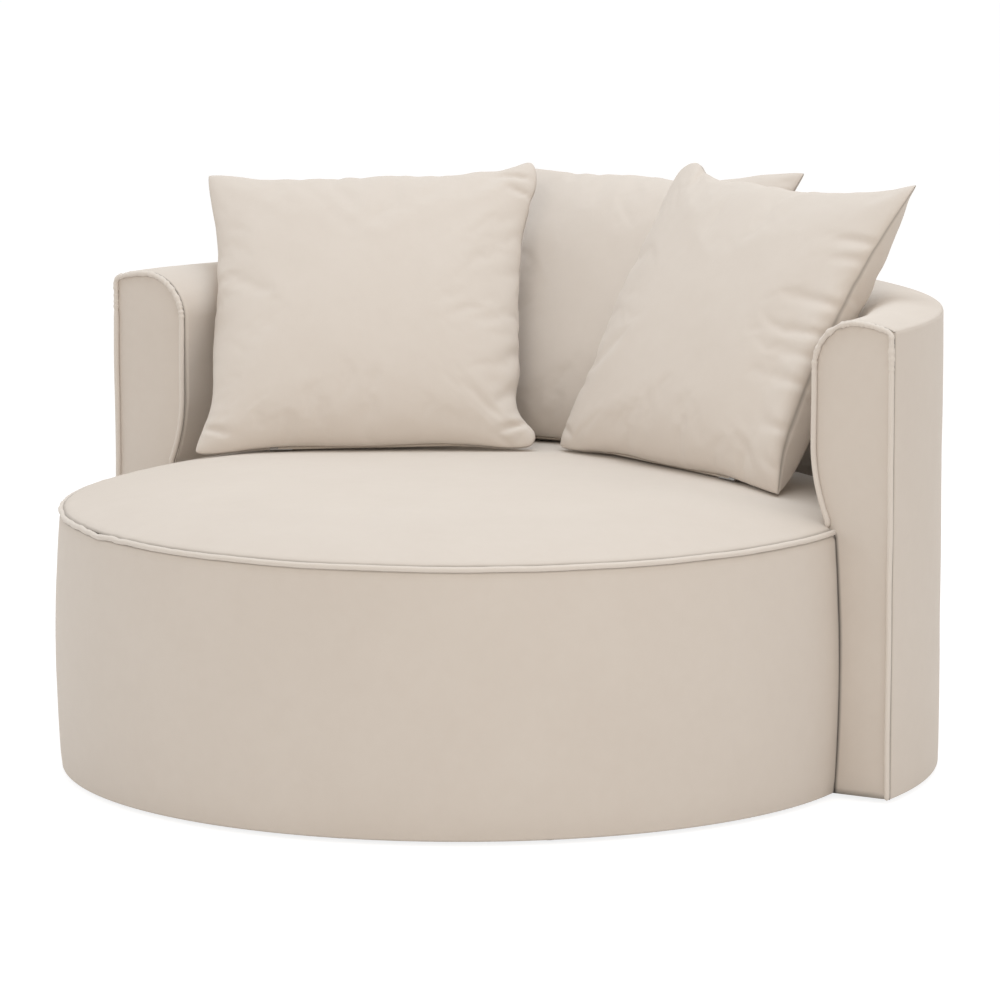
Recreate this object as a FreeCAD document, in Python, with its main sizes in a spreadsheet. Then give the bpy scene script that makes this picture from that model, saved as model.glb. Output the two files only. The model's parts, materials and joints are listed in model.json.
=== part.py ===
"""A round two-seat lounge armchair: a low drum seat, a C-shaped wall that is both back and arms,
and three loose square cushions.

The origin is on the floor at the drum's own axis. +Z is up, the open front looks along -Y, and
+X is to the right of someone who stands in front of the chair. All lengths are millimetres.
"""

import FreeCAD, Part
import math
import os

import Sketcher

V = FreeCAD.Vector
UP = V(0, 0, 1)

doc = FreeCAD.newDocument("round_armchair")
sheet = doc.addObject("Spreadsheet::Sheet", "Sizes")


# Sizes that carry their own spreadsheet expression
class Size:
    """A number and the expression over the spreadsheet's aliases that gives it."""

    def __init__(self, value, text=None):
        self.value = float(value)
        self.text = repr(float(value)) if text is None else text

    def __add__(self, other):
        other = size(other)
        return Size(self.value + other.value, f"({self.text} + {other.text})")

    def __sub__(self, other):
        other = size(other)
        return Size(self.value - other.value, f"({self.text} - {other.text})")

    def __mul__(self, other):
        other = size(other)
        return Size(self.value * other.value, f"({self.text} * {other.text})")

    def __truediv__(self, other):
        other = size(other)
        return Size(self.value / other.value, f"({self.text} / {other.text})")

    def __neg__(self):
        return Size(-self.value, f"(0 - {self.text})")

    def __radd__(self, other):
        return size(other) + self

    def __rsub__(self, other):
        return size(other) - self

    def __rmul__(self, other):
        return size(other) * self


def size(number):
    return number if isinstance(number, Size) else Size(number)


def root(square):
    return Size(math.sqrt(square.value), f"sqrt({square.text})")


class Driving:
    """The driving dimensions as Sizes, one attribute for each cell of the sheet."""

    def __init__(self, values):
        for row, (alias, value) in enumerate(values.items(), 1):
            sheet.set(f"A{row}", alias.replace("_", " "))
            sheet.set(f"B{row}", str(value))
            sheet.setAlias(f"B{row}", alias)
            setattr(self, alias, Size(value, f"Sizes.{alias}"))


# Driving dimensions. Each is one cell of the sheet, and its alias is its name here.
SIZES = {
    # Overall form
    "wall_outer": 750,
    "wall_centre_y": 46,
    "arm_front_y": 73,
    "wall_thickness": 145,
    "foot_setback": 25,
    "floor_gap": 6.5,
    "clearance": 0.5,
    "fabric": 1.5,
    "piping_radius": 4.5,
    # Section of the C-shaped wall
    "straight_face": 122,
    "belly_radius": 300,
    "shoulder_z": 682,
    "shoulder_radius": 78,
    "top_radius": 180,
    "cover_tuck": 2,
    # Drum seat
    "drum_overhang": 31,
    "drum_belly_z": 201,
    "drum_belly_arc": 2370,
    "band_top_drop": 9,
    "seat_rim_inset": 12,
    "seat_rim_z": 428,
    "seat_crown": 50,
    "seat_fall_width": 249,
    "seat_flat_drop": 7,
    "seat_piping_drop": 4.5,
    # Boards, posts and panels
    "board": 18,
    "dust_cover": 1,
    "board_ring": 89.5,
    "board_bar": 80,
    "deck_z": 250,
    "side_panel": 4,
    "side_padding": 18,
    "base_post": 44,
    "rear_post_depth": 54,
    "front_post_inset": 10,
    "centre_post": 60,
    "outer_padding": 18,
    "outer_panel": 3,
    "inner_padding": 45,
    "inner_panel": 4,
    "seat_rail_drop": 48,
    "top_rail_drop": 73,
    "lower_post_gap": 32,
    "upper_post_gap": 18,
    "back_post": 40,
    "arm_pad": 10,
    "arm_board_inset": 15.5,
    "wadding_top_drop": 20,
    "hem": 24,
    # Webbing and fillings
    "strap_width": 60,
    "strap": 2,
    "strap_pitch": 85,
    "strap_landing": 50,
    "topper_depth": 33,
    "wadding": 6,
    # Glides and fasteners
    "glide_radius": 15,
    "glide": 8,
    "nail_radius": 1.5,
    "nail_length": 17,
    "nail_seat": 2,
    "base_glide_inset": 22.5,
    "back_glide_inset": 53,
    "bolt_z": 140,
    "bolt_radius": 4,
    "bolt_clearance": 0.4,
    "bolt_head_radius": 7,
    "bolt_head": 5,
    "washer_radius": 11,
    "washer": 1.6,
    "nut_flange_radius": 12,
    "nut_flange": 1.5,
    "nut_barrel_radius": 5.5,
    "nut_barrel": 10,
    # Loose cushions
    "cushion_width": 550,
    "cushion_height": 530,
    "cushion_thickness": 150,
    "cushion_draw": 16,
    "cushion_low_draw": 11.5,
    "cushion_rim": 6,
    "cover": 1.8,
    "layer_gap": 0.3,
    "cushion_rest": 0.4,
    "zip_length": 320,
    "zip_depth": 5.5,
    "zip_tape": 2,
    "teeth": 3.5,
    "zip_hem": 0.6,
    "slider_length": 14,
    "slider_gap": 0.3,
    "pull_length": 24,
    "pull_thickness": 1.2,
}

S = Driving(SIZES)
doc.recompute()

# Angles of the posts and glides about the drum axis or the wall's centre, in degrees
FRONT_POST_ANGLES = range(-165, 0, 30)
JOINING_ANGLES = (25, 65, 115, 155)
PLAIN_BACK_POST_ANGLES = (45, 90, 135)
BACK_GLIDE_ANGLES = (10, 50, 90, 130, 170)

# Where the middle of each cushion's bottom edge lies on the seat, as its distance from the wall's
# inner face beyond the cushion's own thickness and its angle about the wall's centre, how the
# cushion faces and leans, and the lower end of its bottom edge, 1 for the right and -1 for the
# left, where its zip is closed
CUSHION_PLACES = {
    "left_cushion": {"foot": 163.6, "round": 163.24, "turn": 29.5, "lean": 32.5, "closed": -1},
    "middle_cushion": {"foot": 95.9, "round": 94.47, "turn": 0.0, "lean": 30.0, "closed": -1},
    "right_cushion": {"foot": 147.6, "round": 34.93, "turn": -18.4, "lean": 28.8, "closed": 1},
}

# Sizes that follow from the driving ones
REACH = S.wall_outer * 1.2
SPLIT_Y = S.arm_front_y - S.clearance
ARM_PAD_Y = S.arm_front_y + S.fabric
ARM_BOARD_Y = ARM_PAD_Y + S.arm_pad
FRAME_FRONT_Y = ARM_BOARD_Y + S.board

WALL_INNER = S.wall_outer - S.wall_thickness
WALL_FOOT = WALL_INNER + S.foot_setback
WALL_TOP_Z = S.shoulder_z + S.shoulder_radius
SHOULDER_CENTRE = WALL_INNER + S.shoulder_radius
TOP_ARC_Z = WALL_TOP_Z - S.top_radius
BELLY_TOP_Z = S.shoulder_z - S.straight_face

DRUM_RADIUS = WALL_FOOT + S.drum_overhang
SEAT_RIM_RADIUS = DRUM_RADIUS - S.seat_rim_inset
SEAT_FLAT_RADIUS = SEAT_RIM_RADIUS - S.seat_fall_width
BAND_TOP_Z = S.seat_rim_z - S.band_top_drop
SIDE_PADDING_INNER = DRUM_RADIUS - S.side_padding
SIDE_PANEL_INNER = SIDE_PADDING_INNER - S.side_panel
BASE_REAR = WALL_FOOT - S.clearance

FRAME_Z = S.glide + S.dust_cover
DECK_TOP_Z = S.deck_z + S.board
FOAM_Z = DECK_TOP_Z + 2 * S.strap
FOAM_SPLIT_Z = S.seat_rim_z - S.topper_depth
BOARD_OPENING = BASE_REAR - S.board_ring
STRAP_END_RADIUS = BOARD_OPENING + S.strap_landing

FRAME_OUTER = S.wall_outer - S.outer_padding
OUTER_PANEL_RADIUS = FRAME_OUTER + S.outer_panel
INNER_PANEL_RADIUS = WALL_INNER + S.inner_padding
SEAT_RAIL_Z = S.seat_rim_z - S.seat_rail_drop
SEAT_RAIL_TOP_Z = SEAT_RAIL_Z + S.board
INNER_COVER_LOW_Z = SEAT_RAIL_TOP_Z + S.cover_tuck
TOP_RAIL_Z = WALL_TOP_Z - S.top_rail_drop
TOP_RAIL_TOP_Z = TOP_RAIL_Z + S.board
WADDING_TOP_Z = WALL_TOP_Z - S.wadding_top_drop
LOWER_POST_DEPTH = FRAME_OUTER - WALL_FOOT - S.lower_post_gap
UPPER_POST_INNER = INNER_PANEL_RADIUS + S.inner_panel
UPPER_POST_DEPTH = FRAME_OUTER - UPPER_POST_INNER - S.upper_post_gap
BASE_GLIDE_CIRCLE = BASE_REAR - S.base_glide_inset
BACK_GLIDE_CIRCLE = WALL_FOOT + S.back_glide_inset

nodes = {}


# Helpers for document objects
def bind(obj, prop, number):
    obj.setExpression(prop, size(number).text)


def keep(label, obj):
    """Names the object that is one finished sub-part."""
    obj.Label = label
    nodes[label] = obj
    return obj


def cylinder(name, radius, low, high, centre_y=0):
    obj = doc.addObject("Part::Cylinder", name)
    bind(obj, "Radius", radius)
    bind(obj, "Height", size(high) - low)
    bind(obj, "Placement.Base.y", centre_y)
    bind(obj, "Placement.Base.z", low)
    return obj


def box(name, x, y, z):
    """A box from its low and high limits along each axis."""
    obj = doc.addObject("Part::Box", name)
    for prop, axis, (low, high) in (("Length", "x", x), ("Width", "y", y), ("Height", "z", z)):
        bind(obj, prop, size(high) - low)
        bind(obj, f"Placement.Base.{axis}", low)
    return obj


def cut(name, base, tool):
    obj = doc.addObject("Part::Cut", name)
    obj.Base, obj.Tool = base, tool
    return obj


def common(name, base, tool):
    obj = doc.addObject("Part::Common", name)
    obj.Base, obj.Tool = base, tool
    return obj


def fuse(name, *shapes):
    obj = doc.addObject("Part::MultiFuse", name)
    obj.Shapes = list(shapes)
    return obj


def group(name, members):
    """Separate solids that share one sub-part."""
    obj = doc.addObject("Part::Compound", name)
    obj.Links = list(members)
    return obj


def tube(name, outer, inner, low, high, centre_y=0):
    return cut(
        name,
        cylinder(name + "_outer", outer, low, high, centre_y),
        cylinder(name + "_inner", inner, low - size(1), high + size(1), centre_y),
    )


def front_of(name, y, low=0, high=WALL_TOP_Z):
    """All the space in front of the plane at y."""
    return box(name, (-REACH, REACH), (-REACH, y), (size(low) - 1, size(high) + 1))


def behind(name, y, high=WALL_TOP_Z):
    """All the space behind the plane at y."""
    return box(name, (-REACH, REACH), (y, REACH), (Size(-1), size(high) + 1))


def plan(name, front_radius, rear_radius, low, high):
    """The base's plan: a round front, and a rear that fits inside the C-shaped wall."""
    front = common(
        name + "_front",
        cylinder(name + "_round", front_radius, low, high),
        front_of(name + "_ahead", SPLIT_Y, low, high),
    )
    rear = common(
        name + "_rear",
        cylinder(name + "_inset", rear_radius, low, high, S.wall_centre_y),
        behind(name + "_behind", SPLIT_Y),
    )
    return fuse(name, front, rear)


def post(name, centre_y, angle, inner, depth, width, low, high):
    """A square post whose face looks along the radius at that angle."""
    obj = doc.addObject("Part::Box", name)
    obj.Placement.Rotation = FreeCAD.Rotation(UP, angle)
    cosine = math.cos(math.radians(angle))
    sine = math.sin(math.radians(angle))
    bind(obj, "Length", depth)
    bind(obj, "Width", width)
    bind(obj, "Height", size(high) - low)
    bind(obj, "Placement.Base.x", inner * cosine + width * (sine / 2))
    bind(obj, "Placement.Base.y", size(centre_y) + inner * sine - width * (cosine / 2))
    bind(obj, "Placement.Base.z", low)
    return obj


def rod(name, angle, inner, outer, radius):
    """A round bar along the radius at that angle, at the bolts' height."""
    obj = doc.addObject("Part::Cylinder", name)
    cosine = math.cos(math.radians(angle))
    sine = math.sin(math.radians(angle))
    obj.Placement.Rotation = FreeCAD.Rotation(UP, V(cosine, sine, 0))
    bind(obj, "Radius", radius)
    bind(obj, "Height", size(outer) - inner)
    bind(obj, "Placement.Base.x", inner * cosine)
    bind(obj, "Placement.Base.y", S.wall_centre_y + inner * sine)
    bind(obj, "Placement.Base.z", S.bolt_z)
    return obj


# Sketched and revolved bodies
def line(end):
    return {"end": end}


def arc(end, centre, radius, turn):
    """An arc to end, about centre. turn is 1 for anticlockwise in the sketch and -1 for clockwise."""
    return {"end": end, "centre": centre, "radius": radius, "turn": turn}


def sketch_outline(sketch, start, steps):
    """Draws a closed outline. Each corner is held by its two distances and each arc by its radius."""
    first_ends = []
    corner = start
    for number, step in enumerate(steps):
        a = V(corner[0].value, corner[1].value, 0)
        b = V(step["end"][0].value, step["end"][1].value, 0)
        if "centre" in step:
            centre = V(step["centre"][0].value, step["centre"][1].value, 0)
            circle = Part.Circle(centre, UP, step["radius"].value)
            first, last = (a, b) if step["turn"] > 0 else (b, a)
            angles = [math.atan2((p - centre).y, (p - centre).x) for p in (first, last)]
            sketch.addGeometry(Part.ArcOfCircle(circle, angles[0], angles[1]))
            held = sketch.addConstraint(
                Sketcher.Constraint("Radius", number, step["radius"].value)
            )
            sketch.setExpression(f"Constraints[{held}]", step["radius"].text)
            ends = (1, 2) if step["turn"] > 0 else (2, 1)
        else:
            sketch.addGeometry(Part.LineSegment(a, b))
            ends = (1, 2)
        first_ends.append(ends)
        corner = step["end"]
    corner = start
    for number, step in enumerate(steps):
        following = (number + 1) % len(steps)
        sketch.addConstraint(
            Sketcher.Constraint(
                "Coincident", number, first_ends[number][1], following, first_ends[following][0]
            )
        )
        for kind, distance, axis in (("DistanceX", corner[0], -2), ("DistanceY", corner[1], -1)):
            if distance.value == 0:
                sketch.addConstraint(
                    Sketcher.Constraint("PointOnObject", number, first_ends[number][0], axis)
                )
                continue
            held = sketch.addConstraint(
                Sketcher.Constraint(kind, -1, 1, number, first_ends[number][0], distance.value)
            )
            sketch.setExpression(f"Constraints[{held}]", distance.text)
        corner = step["end"]


def revolved(name, start, steps, centre_y=0, angle=360):
    """A body revolved about the upright axis through centre_y, from an outline of radius and height."""
    body = doc.addObject("PartDesign::Body", name)
    sketch = body.newObject("Sketcher::SketchObject", name + "_section")
    upright = [f for f in body.Origin.OriginFeatures if f.Role == "XZ_Plane"][0]
    sketch.AttachmentSupport = [(upright, "")]
    sketch.MapMode = "FlatFace"
    sketch_outline(sketch, start, steps)
    turned = body.newObject("PartDesign::Revolution", name + "_turned")
    turned.Profile = sketch
    turned.ReferenceAxis = (sketch, ["V_Axis"])
    turned.Angle = angle
    bind(body, "Placement.Base.y", centre_y)
    return body


# Section of the wall: up the inner face, over the shoulder and the crowned top to the outer crease
def crease_z(inset):
    """Height of the crowned top where it meets the outer face."""
    reach = S.wall_outer - inset - SHOULDER_CENTRE
    fall = S.top_radius - inset
    return TOP_ARC_Z + root(fall * fall - reach * reach)


def wall_points(inset):
    """The corners of the wall's section, drawn in by inset."""
    belly = S.belly_radius - inset
    level = S.belly_radius + WALL_INNER - WALL_FOOT - inset
    return {
        "foot": (WALL_FOOT + inset, BELLY_TOP_Z - root(belly * belly - level * level)),
        "belly": (WALL_INNER + inset, BELLY_TOP_Z),
        "shoulder": (WALL_INNER + inset, S.shoulder_z),
        "top": (SHOULDER_CENTRE, WALL_TOP_Z - inset),
        "crease": (S.wall_outer - inset, crease_z(inset)),
    }


def wall_rise(inset):
    """The steps from the foot of the inner face up to the outer crease."""
    p = wall_points(inset)
    return [
        line(p["foot"]),
        arc(p["belly"], (WALL_INNER + S.belly_radius, BELLY_TOP_Z), S.belly_radius - inset, -1),
        line(p["shoulder"]),
        arc(p["top"], (SHOULDER_CENTRE, S.shoulder_z), S.shoulder_radius - inset, -1),
        arc(p["crease"], (SHOULDER_CENTRE, TOP_ARC_Z), S.top_radius - inset, -1),
    ]


def wall_solid(name, inset, low):
    """The whole wall as one revolved solid, drawn in by inset, down to low."""
    start = (WALL_FOOT + inset, size(low))
    steps = wall_rise(inset) + [line((S.wall_outer - inset, size(low))), line(start)]
    return revolved(name, start, steps, S.wall_centre_y, 180)


# Section of the crowned seat
FLAT_ARC = (SEAT_FLAT_RADIUS * SEAT_FLAT_RADIUS + S.seat_flat_drop * S.seat_flat_drop) / (
    2 * S.seat_flat_drop
)
SEAT_TOP_Z = S.seat_rim_z + S.seat_crown
FLAT_ARC_Z = SEAT_TOP_Z - FLAT_ARC
LEAN_OUT = SEAT_FLAT_RADIUS / FLAT_ARC
LEAN_UP = (FLAT_ARC - S.seat_flat_drop) / FLAT_ARC
RUN = SEAT_RIM_RADIUS - SEAT_FLAT_RADIUS
FALL = S.seat_crown - S.seat_flat_drop
RIM_ARC = (RUN * RUN + FALL * FALL) / (2 * (FALL * LEAN_UP - RUN * LEAN_OUT))
RIM_ARC_X = SEAT_FLAT_RADIUS - RIM_ARC * LEAN_OUT
RIM_ARC_Z = SEAT_TOP_Z - S.seat_flat_drop - RIM_ARC * LEAN_UP


def seat_height(radius, inset=0):
    """Height of the seat's crowned surface, outside its flatter middle."""
    across = size(radius) - RIM_ARC_X
    down = RIM_ARC - inset
    return RIM_ARC_Z + root(down * down - across * across)


def seat_height_at(x, y):
    """Height of the seat's crowned surface at a point, as a number."""
    radius = math.hypot(x, y)
    if radius > SEAT_FLAT_RADIUS.value:
        return seat_height(radius).value
    return FLAT_ARC_Z.value + math.sqrt(FLAT_ARC.value**2 - radius**2)


def crown_steps(inset, outer, turn):
    """The crown's two arcs from the axis out to outer, or back in when turn is 1."""
    joint = (
        LEAN_OUT * (FLAT_ARC - inset),
        FLAT_ARC_Z + LEAN_UP * (FLAT_ARC - inset),
    )
    top = (Size(0), SEAT_TOP_Z - inset)
    rim = (size(outer), seat_height(outer, inset))
    flat = ((Size(0), FLAT_ARC_Z), FLAT_ARC - inset)
    side = ((RIM_ARC_X, RIM_ARC_Z), RIM_ARC - inset)
    if turn < 0:
        return top, [arc(joint, *flat, -1), arc(rim, *side, -1)]
    return rim, [arc(joint, *side, 1), arc(top, *flat, 1)]


def crown_layer(name, top_inset, low_inset, outer):
    """A layer of the seat's crown between two depths below its surface."""
    start, outward = crown_steps(top_inset, outer, -1)
    low_rim, inward = crown_steps(low_inset, outer, 1)
    return revolved(name, start, outward + [line(low_rim)] + inward + [line(start)])


def seat_plan(name, front_radius):
    return plan(name, front_radius, BASE_REAR, FOAM_Z, SEAT_TOP_Z)


# Wooden base
def board(label, low):
    """A round board with two D-shaped openings and a bar between them."""
    high = low + S.board
    bar = box(label + "_bar", (-REACH, REACH), (-S.board_bar / 2, S.board_bar / 2), (low - 1, high + 1))
    hole = cylinder(label + "_hole", BOARD_OPENING, low - 1, high + 1)
    openings = cut(label + "_openings", hole, bar)
    return cut(label + "_sawn", plan(label + "_blank", SIDE_PANEL_INNER, BASE_REAR, low, high), openings)


def base_posts():
    posts = []
    low = FRAME_Z + S.board
    front_inner = SIDE_PANEL_INNER - S.front_post_inset - S.base_post
    for angle in FRONT_POST_ANGLES:
        name = f"front_post_{-angle}"
        posts.append(
            post(name, 0, angle, front_inner, S.base_post, S.base_post, low, S.deck_z)
        )
    rear_inner = BASE_REAR - S.rear_post_depth
    for angle in JOINING_ANGLES:
        name = f"rear_post_{angle}"
        blank = post(
            name, S.wall_centre_y, angle, rear_inner, S.rear_post_depth, S.base_post, low, S.deck_z
        )
        hole = rod(name + "_hole", angle, rear_inner - 1, BASE_REAR + 1, S.bolt_radius + S.bolt_clearance)
        posts.append(cut(name + "_drilled", blank, hole))
    keep("seat_posts", group("seat_post_set", posts))
    half = S.centre_post / 2
    keep("centre_post", box("centre_post_block", (-half, half), (-half, half), (low, S.deck_z)))


def webbing():
    """Straps both ways over the deck, each ending on the board at the same distance from the axis."""
    count = int(BOARD_OPENING.value // S.strap_pitch.value)
    lengthwise, crosswise = [], []
    for step in range(-count, count + 1):
        offset = S.strap_pitch * step
        reach = root(STRAP_END_RADIUS * STRAP_END_RADIUS - offset * offset)
        side = (offset - S.strap_width / 2, offset + S.strap_width / 2)
        along = (-reach, reach)
        lower = (DECK_TOP_Z, DECK_TOP_Z + S.strap)
        upper = (DECK_TOP_Z + S.strap, FOAM_Z)
        lengthwise.append(box(f"strap_along_{step + count}", side, along, lower))
        crosswise.append(box(f"strap_across_{step + count}", along, side, upper))
    keep("lengthwise_webbing", group("straps_along", lengthwise))
    keep("crosswise_webbing", group("straps_across", crosswise))


# Seat fillings and covers
def seat_soft_parts():
    keep("seat_foam_core", plan("foam_core", SIDE_PADDING_INNER, BASE_REAR, FOAM_Z, FOAM_SPLIT_Z))
    outer = WALL_FOOT + S.wall_centre_y + 2
    inset = S.fabric + S.wadding
    start, outward = crown_steps(inset, outer, -1)
    steps = outward + [line((outer, FOAM_SPLIT_Z)), line((Size(0), FOAM_SPLIT_Z)), line(start)]
    dome = revolved("foam_dome", start, steps)
    keep("seat_foam_topper", common("foam_topper", dome, seat_plan("topper_plan", SIDE_PADDING_INNER)))
    wadding = crown_layer("wadding_layer", S.fabric, inset, outer)
    keep("seat_wadding", common("wadding_cut", wadding, seat_plan("wadding_plan", SIDE_PADDING_INNER)))
    cover = crown_layer("cover_layer", 0, S.fabric, outer)
    cover_radius = SEAT_RIM_RADIUS - S.clearance * 4
    keep("seat_cover_top", common("cover_cut", cover, seat_plan("cover_plan", cover_radius)))
    ring = doc.addObject("Part::Torus", "piping_ring")
    bind(ring, "Radius1", SEAT_RIM_RADIUS + 1)
    bind(ring, "Radius2", S.piping_radius)
    bind(ring, "Placement.Base.z", S.seat_rim_z - S.seat_piping_drop)
    keep("seat_piping", common("piping_arc", ring, front_of("piping_ahead", SPLIT_Y)))


def band_radius(height, inset=0):
    """Radius of the drum's gently bellied side at a height."""
    rise = size(height) - S.drum_belly_z
    reach = S.drum_belly_arc - inset
    return DRUM_RADIUS - S.drum_belly_arc + root(reach * reach - rise * rise)


def drum_side():
    panel = tube("side_panel_ring", SIDE_PADDING_INNER, SIDE_PANEL_INNER, FRAME_Z, DECK_TOP_Z)
    keep("drum_side_panel", common("side_panel_arc", panel, front_of("side_panel_ahead", SPLIT_Y)))

    centre = (DRUM_RADIUS - S.drum_belly_arc, S.drum_belly_z)
    padding_top = BAND_TOP_Z - S.fabric
    start = (SIDE_PADDING_INNER, FRAME_Z)
    steps = [
        line((band_radius(FRAME_Z, S.fabric), FRAME_Z)),
        arc((band_radius(padding_top, S.fabric), padding_top), centre, S.drum_belly_arc - S.fabric, 1),
        line((SIDE_PADDING_INNER, padding_top)),
        line(start),
    ]
    padding = revolved("side_padding_ring", start, steps)
    keep("drum_side_padding", common("side_padding_arc", padding, front_of("side_padding_ahead", SPLIT_Y)))

    hem_inner = SIDE_PANEL_INNER - S.hem / 2
    start = (hem_inner, S.floor_gap)
    steps = [
        line((band_radius(S.floor_gap), S.floor_gap)),
        arc((band_radius(BAND_TOP_Z), BAND_TOP_Z), centre, S.drum_belly_arc, 1),
        line((band_radius(BAND_TOP_Z, S.fabric), BAND_TOP_Z)),
        arc((band_radius(S.glide, S.fabric), S.glide), centre, S.drum_belly_arc - S.fabric, -1),
        line((hem_inner, S.glide)),
        line(start),
    ]
    band = revolved("band_ring", start, steps)
    keep("seat_cover_band", common("band_arc", band, front_of("band_ahead", SPLIT_Y)))


# Frame of the C-shaped wall
def wall_ring(label, outer, inner, low, high, front_y):
    """A C-shaped layer of the wall between two radii, cut off at front_y."""
    ring = tube(label + "_ring", outer, inner, low, high, S.wall_centre_y)
    return keep(label, common(label + "_c", ring, behind(label + "_behind", front_y)))


def wall_frame():
    wall_ring("back_bottom_rail", FRAME_OUTER, WALL_FOOT, FRAME_Z, FRAME_Z + S.board, FRAME_FRONT_Y)
    wall_ring("back_seat_rail", FRAME_OUTER, WALL_FOOT, SEAT_RAIL_Z, SEAT_RAIL_TOP_Z, FRAME_FRONT_Y)
    wall_ring(
        "back_top_rail", FRAME_OUTER, INNER_PANEL_RADIUS, TOP_RAIL_Z, TOP_RAIL_TOP_Z, FRAME_FRONT_Y
    )
    wall_ring(
        "back_inner_panel",
        INNER_PANEL_RADIUS + S.inner_panel,
        INNER_PANEL_RADIUS,
        SEAT_RAIL_TOP_Z,
        TOP_RAIL_Z,
        FRAME_FRONT_Y,
    )
    wall_ring(
        "back_outer_panel", OUTER_PANEL_RADIUS, FRAME_OUTER, FRAME_Z, TOP_RAIL_TOP_Z, FRAME_FRONT_Y
    )
    wall_ring(
        "back_outer_wadding",
        S.wall_outer - S.fabric - S.layer_gap,
        OUTER_PANEL_RADIUS,
        FRAME_Z,
        WADDING_TOP_Z,
        ARM_BOARD_Y,
    )
    wall_ring("back_dust_cover", FRAME_OUTER, WALL_FOOT, S.glide, FRAME_Z, ARM_PAD_Y)

    lower, upper = [], []
    post_low = FRAME_Z + S.board
    for angle in sorted(JOINING_ANGLES + PLAIN_BACK_POST_ANGLES):
        name = f"lower_post_{angle}"
        blank = post(
            name,
            S.wall_centre_y,
            angle,
            WALL_FOOT,
            LOWER_POST_DEPTH,
            S.back_post,
            post_low,
            SEAT_RAIL_Z,
        )
        if angle in JOINING_ANGLES:
            outer = WALL_FOOT + LOWER_POST_DEPTH
            shank = rod(name + "_hole", angle, WALL_FOOT - 1, outer + 1, S.bolt_radius + S.bolt_clearance)
            socket = rod(name + "_socket", angle, outer - S.nut_barrel, outer + 1, S.nut_barrel_radius)
            blank = cut(name + "_drilled", blank, fuse(name + "_bores", shank, socket))
        lower.append(blank)
        upper.append(
            post(
                f"upper_post_{angle}",
                S.wall_centre_y,
                angle,
                UPPER_POST_INNER,
                UPPER_POST_DEPTH,
                S.back_post,
                SEAT_RAIL_TOP_Z,
                TOP_RAIL_Z,
            )
        )
    keep("back_lower_posts", group("lower_post_set", lower))
    keep("back_upper_posts", group("upper_post_set", upper))


# Boards, pads, facings and piping at the two arm fronts
def arm_slab(label, side, inset, low, front_y, back_y):
    """A slice of the wall's section at one arm's front. side is 1 for the right arm."""
    across = (Size(0), REACH) if side > 0 else (-REACH, Size(0))
    slab = box(label + "_slab", across, (front_y, back_y), (Size(-1), WALL_TOP_Z + 1))
    return keep(label, common(label + "_cut", wall_solid(label + "_section", inset, low), slab))


def piping_path(side):
    """Centre line of the piping round an arm's front, from the seat up, over and down to the floor."""
    r = S.piping_radius.value
    y = S.arm_front_y.value - r
    start_z = seat_height_at(WALL_FOOT.value, 0) + 2 * r
    p = {k: (a.value, b.value) for k, (a, b) in wall_points(S.piping_radius).items()}
    edge = S.wall_outer.value - r
    bend = 1.6 * r
    centre_x = edge - bend
    reach = S.top_radius.value - r - bend
    centre_z = TOP_ARC_Z.value + math.sqrt(reach**2 - (centre_x - SHOULDER_CENTRE.value) ** 2)
    direction = V(centre_x - SHOULDER_CENTRE.value, 0, centre_z - TOP_ARC_Z.value).normalize()

    def at(x, z):
        return V(side * x, y, z)

    def about(x, z, radius, degrees):
        angle = math.radians(degrees)
        return at(x + radius * math.cos(angle), z + radius * math.sin(angle))

    top_r = S.top_radius.value - r
    crown_end = (
        SHOULDER_CENTRE.value + direction.x * top_r,
        TOP_ARC_Z.value + direction.z * top_r,
    )
    slope = math.degrees(math.atan2(direction.z, direction.x))
    belly_x = WALL_INNER.value + S.belly_radius.value
    belly_r = S.belly_radius.value - r
    foot_x, foot_z = p["foot"]
    arc_start_z = max(start_z, foot_z)
    start_level = BELLY_TOP_Z.value - arc_start_z
    arc_start_x = belly_x - math.sqrt(belly_r**2 - start_level**2)
    half_belly = math.degrees(math.asin(start_level / belly_r)) / 2
    arcs = [
        Part.Arc(
            at(arc_start_x, arc_start_z),
            about(belly_x, BELLY_TOP_Z.value, belly_r, 180 + half_belly),
            at(*p["belly"]),
        ),
        Part.LineSegment(at(*p["belly"]), at(*p["shoulder"])),
        Part.Arc(
            at(*p["shoulder"]),
            about(SHOULDER_CENTRE.value, S.shoulder_z.value, S.shoulder_radius.value - r, 135),
            at(*p["top"]),
        ),
        Part.Arc(
            at(*p["top"]),
            about(SHOULDER_CENTRE.value, TOP_ARC_Z.value, top_r, (90 + slope) / 2),
            at(*crown_end),
        ),
        Part.Arc(at(*crown_end), about(centre_x, centre_z, bend, slope / 2), at(edge, centre_z)),
        Part.LineSegment(at(edge, centre_z), at(edge, S.floor_gap.value)),
    ]
    if start_z < foot_z:
        arcs.insert(0, Part.LineSegment(at(foot_x, start_z), at(foot_x, foot_z)))
    return Part.Wire([a.toShape() for a in arcs]), at(min(arc_start_x, foot_x), start_z)


def arm_front(name, side):
    arm_slab(f"{name}_arm_facing", side, S.fabric, S.floor_gap, S.arm_front_y, ARM_PAD_Y)
    arm_slab(f"{name}_arm_pad", side, S.fabric, FRAME_Z, ARM_PAD_Y, ARM_BOARD_Y)
    arm_slab(f"{name}_arm_board", side, S.arm_board_inset, FRAME_Z, ARM_BOARD_Y, FRAME_FRONT_Y)
    path, start = piping_path(side)
    tangent = path.Edges[0].tangentAt(path.Edges[0].FirstParameter)
    ring = Part.Wire([Part.Circle(start, tangent, S.piping_radius.value).toShape()])
    cord = doc.addObject("Part::Feature", f"{name}_arm_cord")
    cord.Shape = path.makePipeShell([ring], True, False)
    keep(f"{name}_arm_piping", cord)


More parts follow.
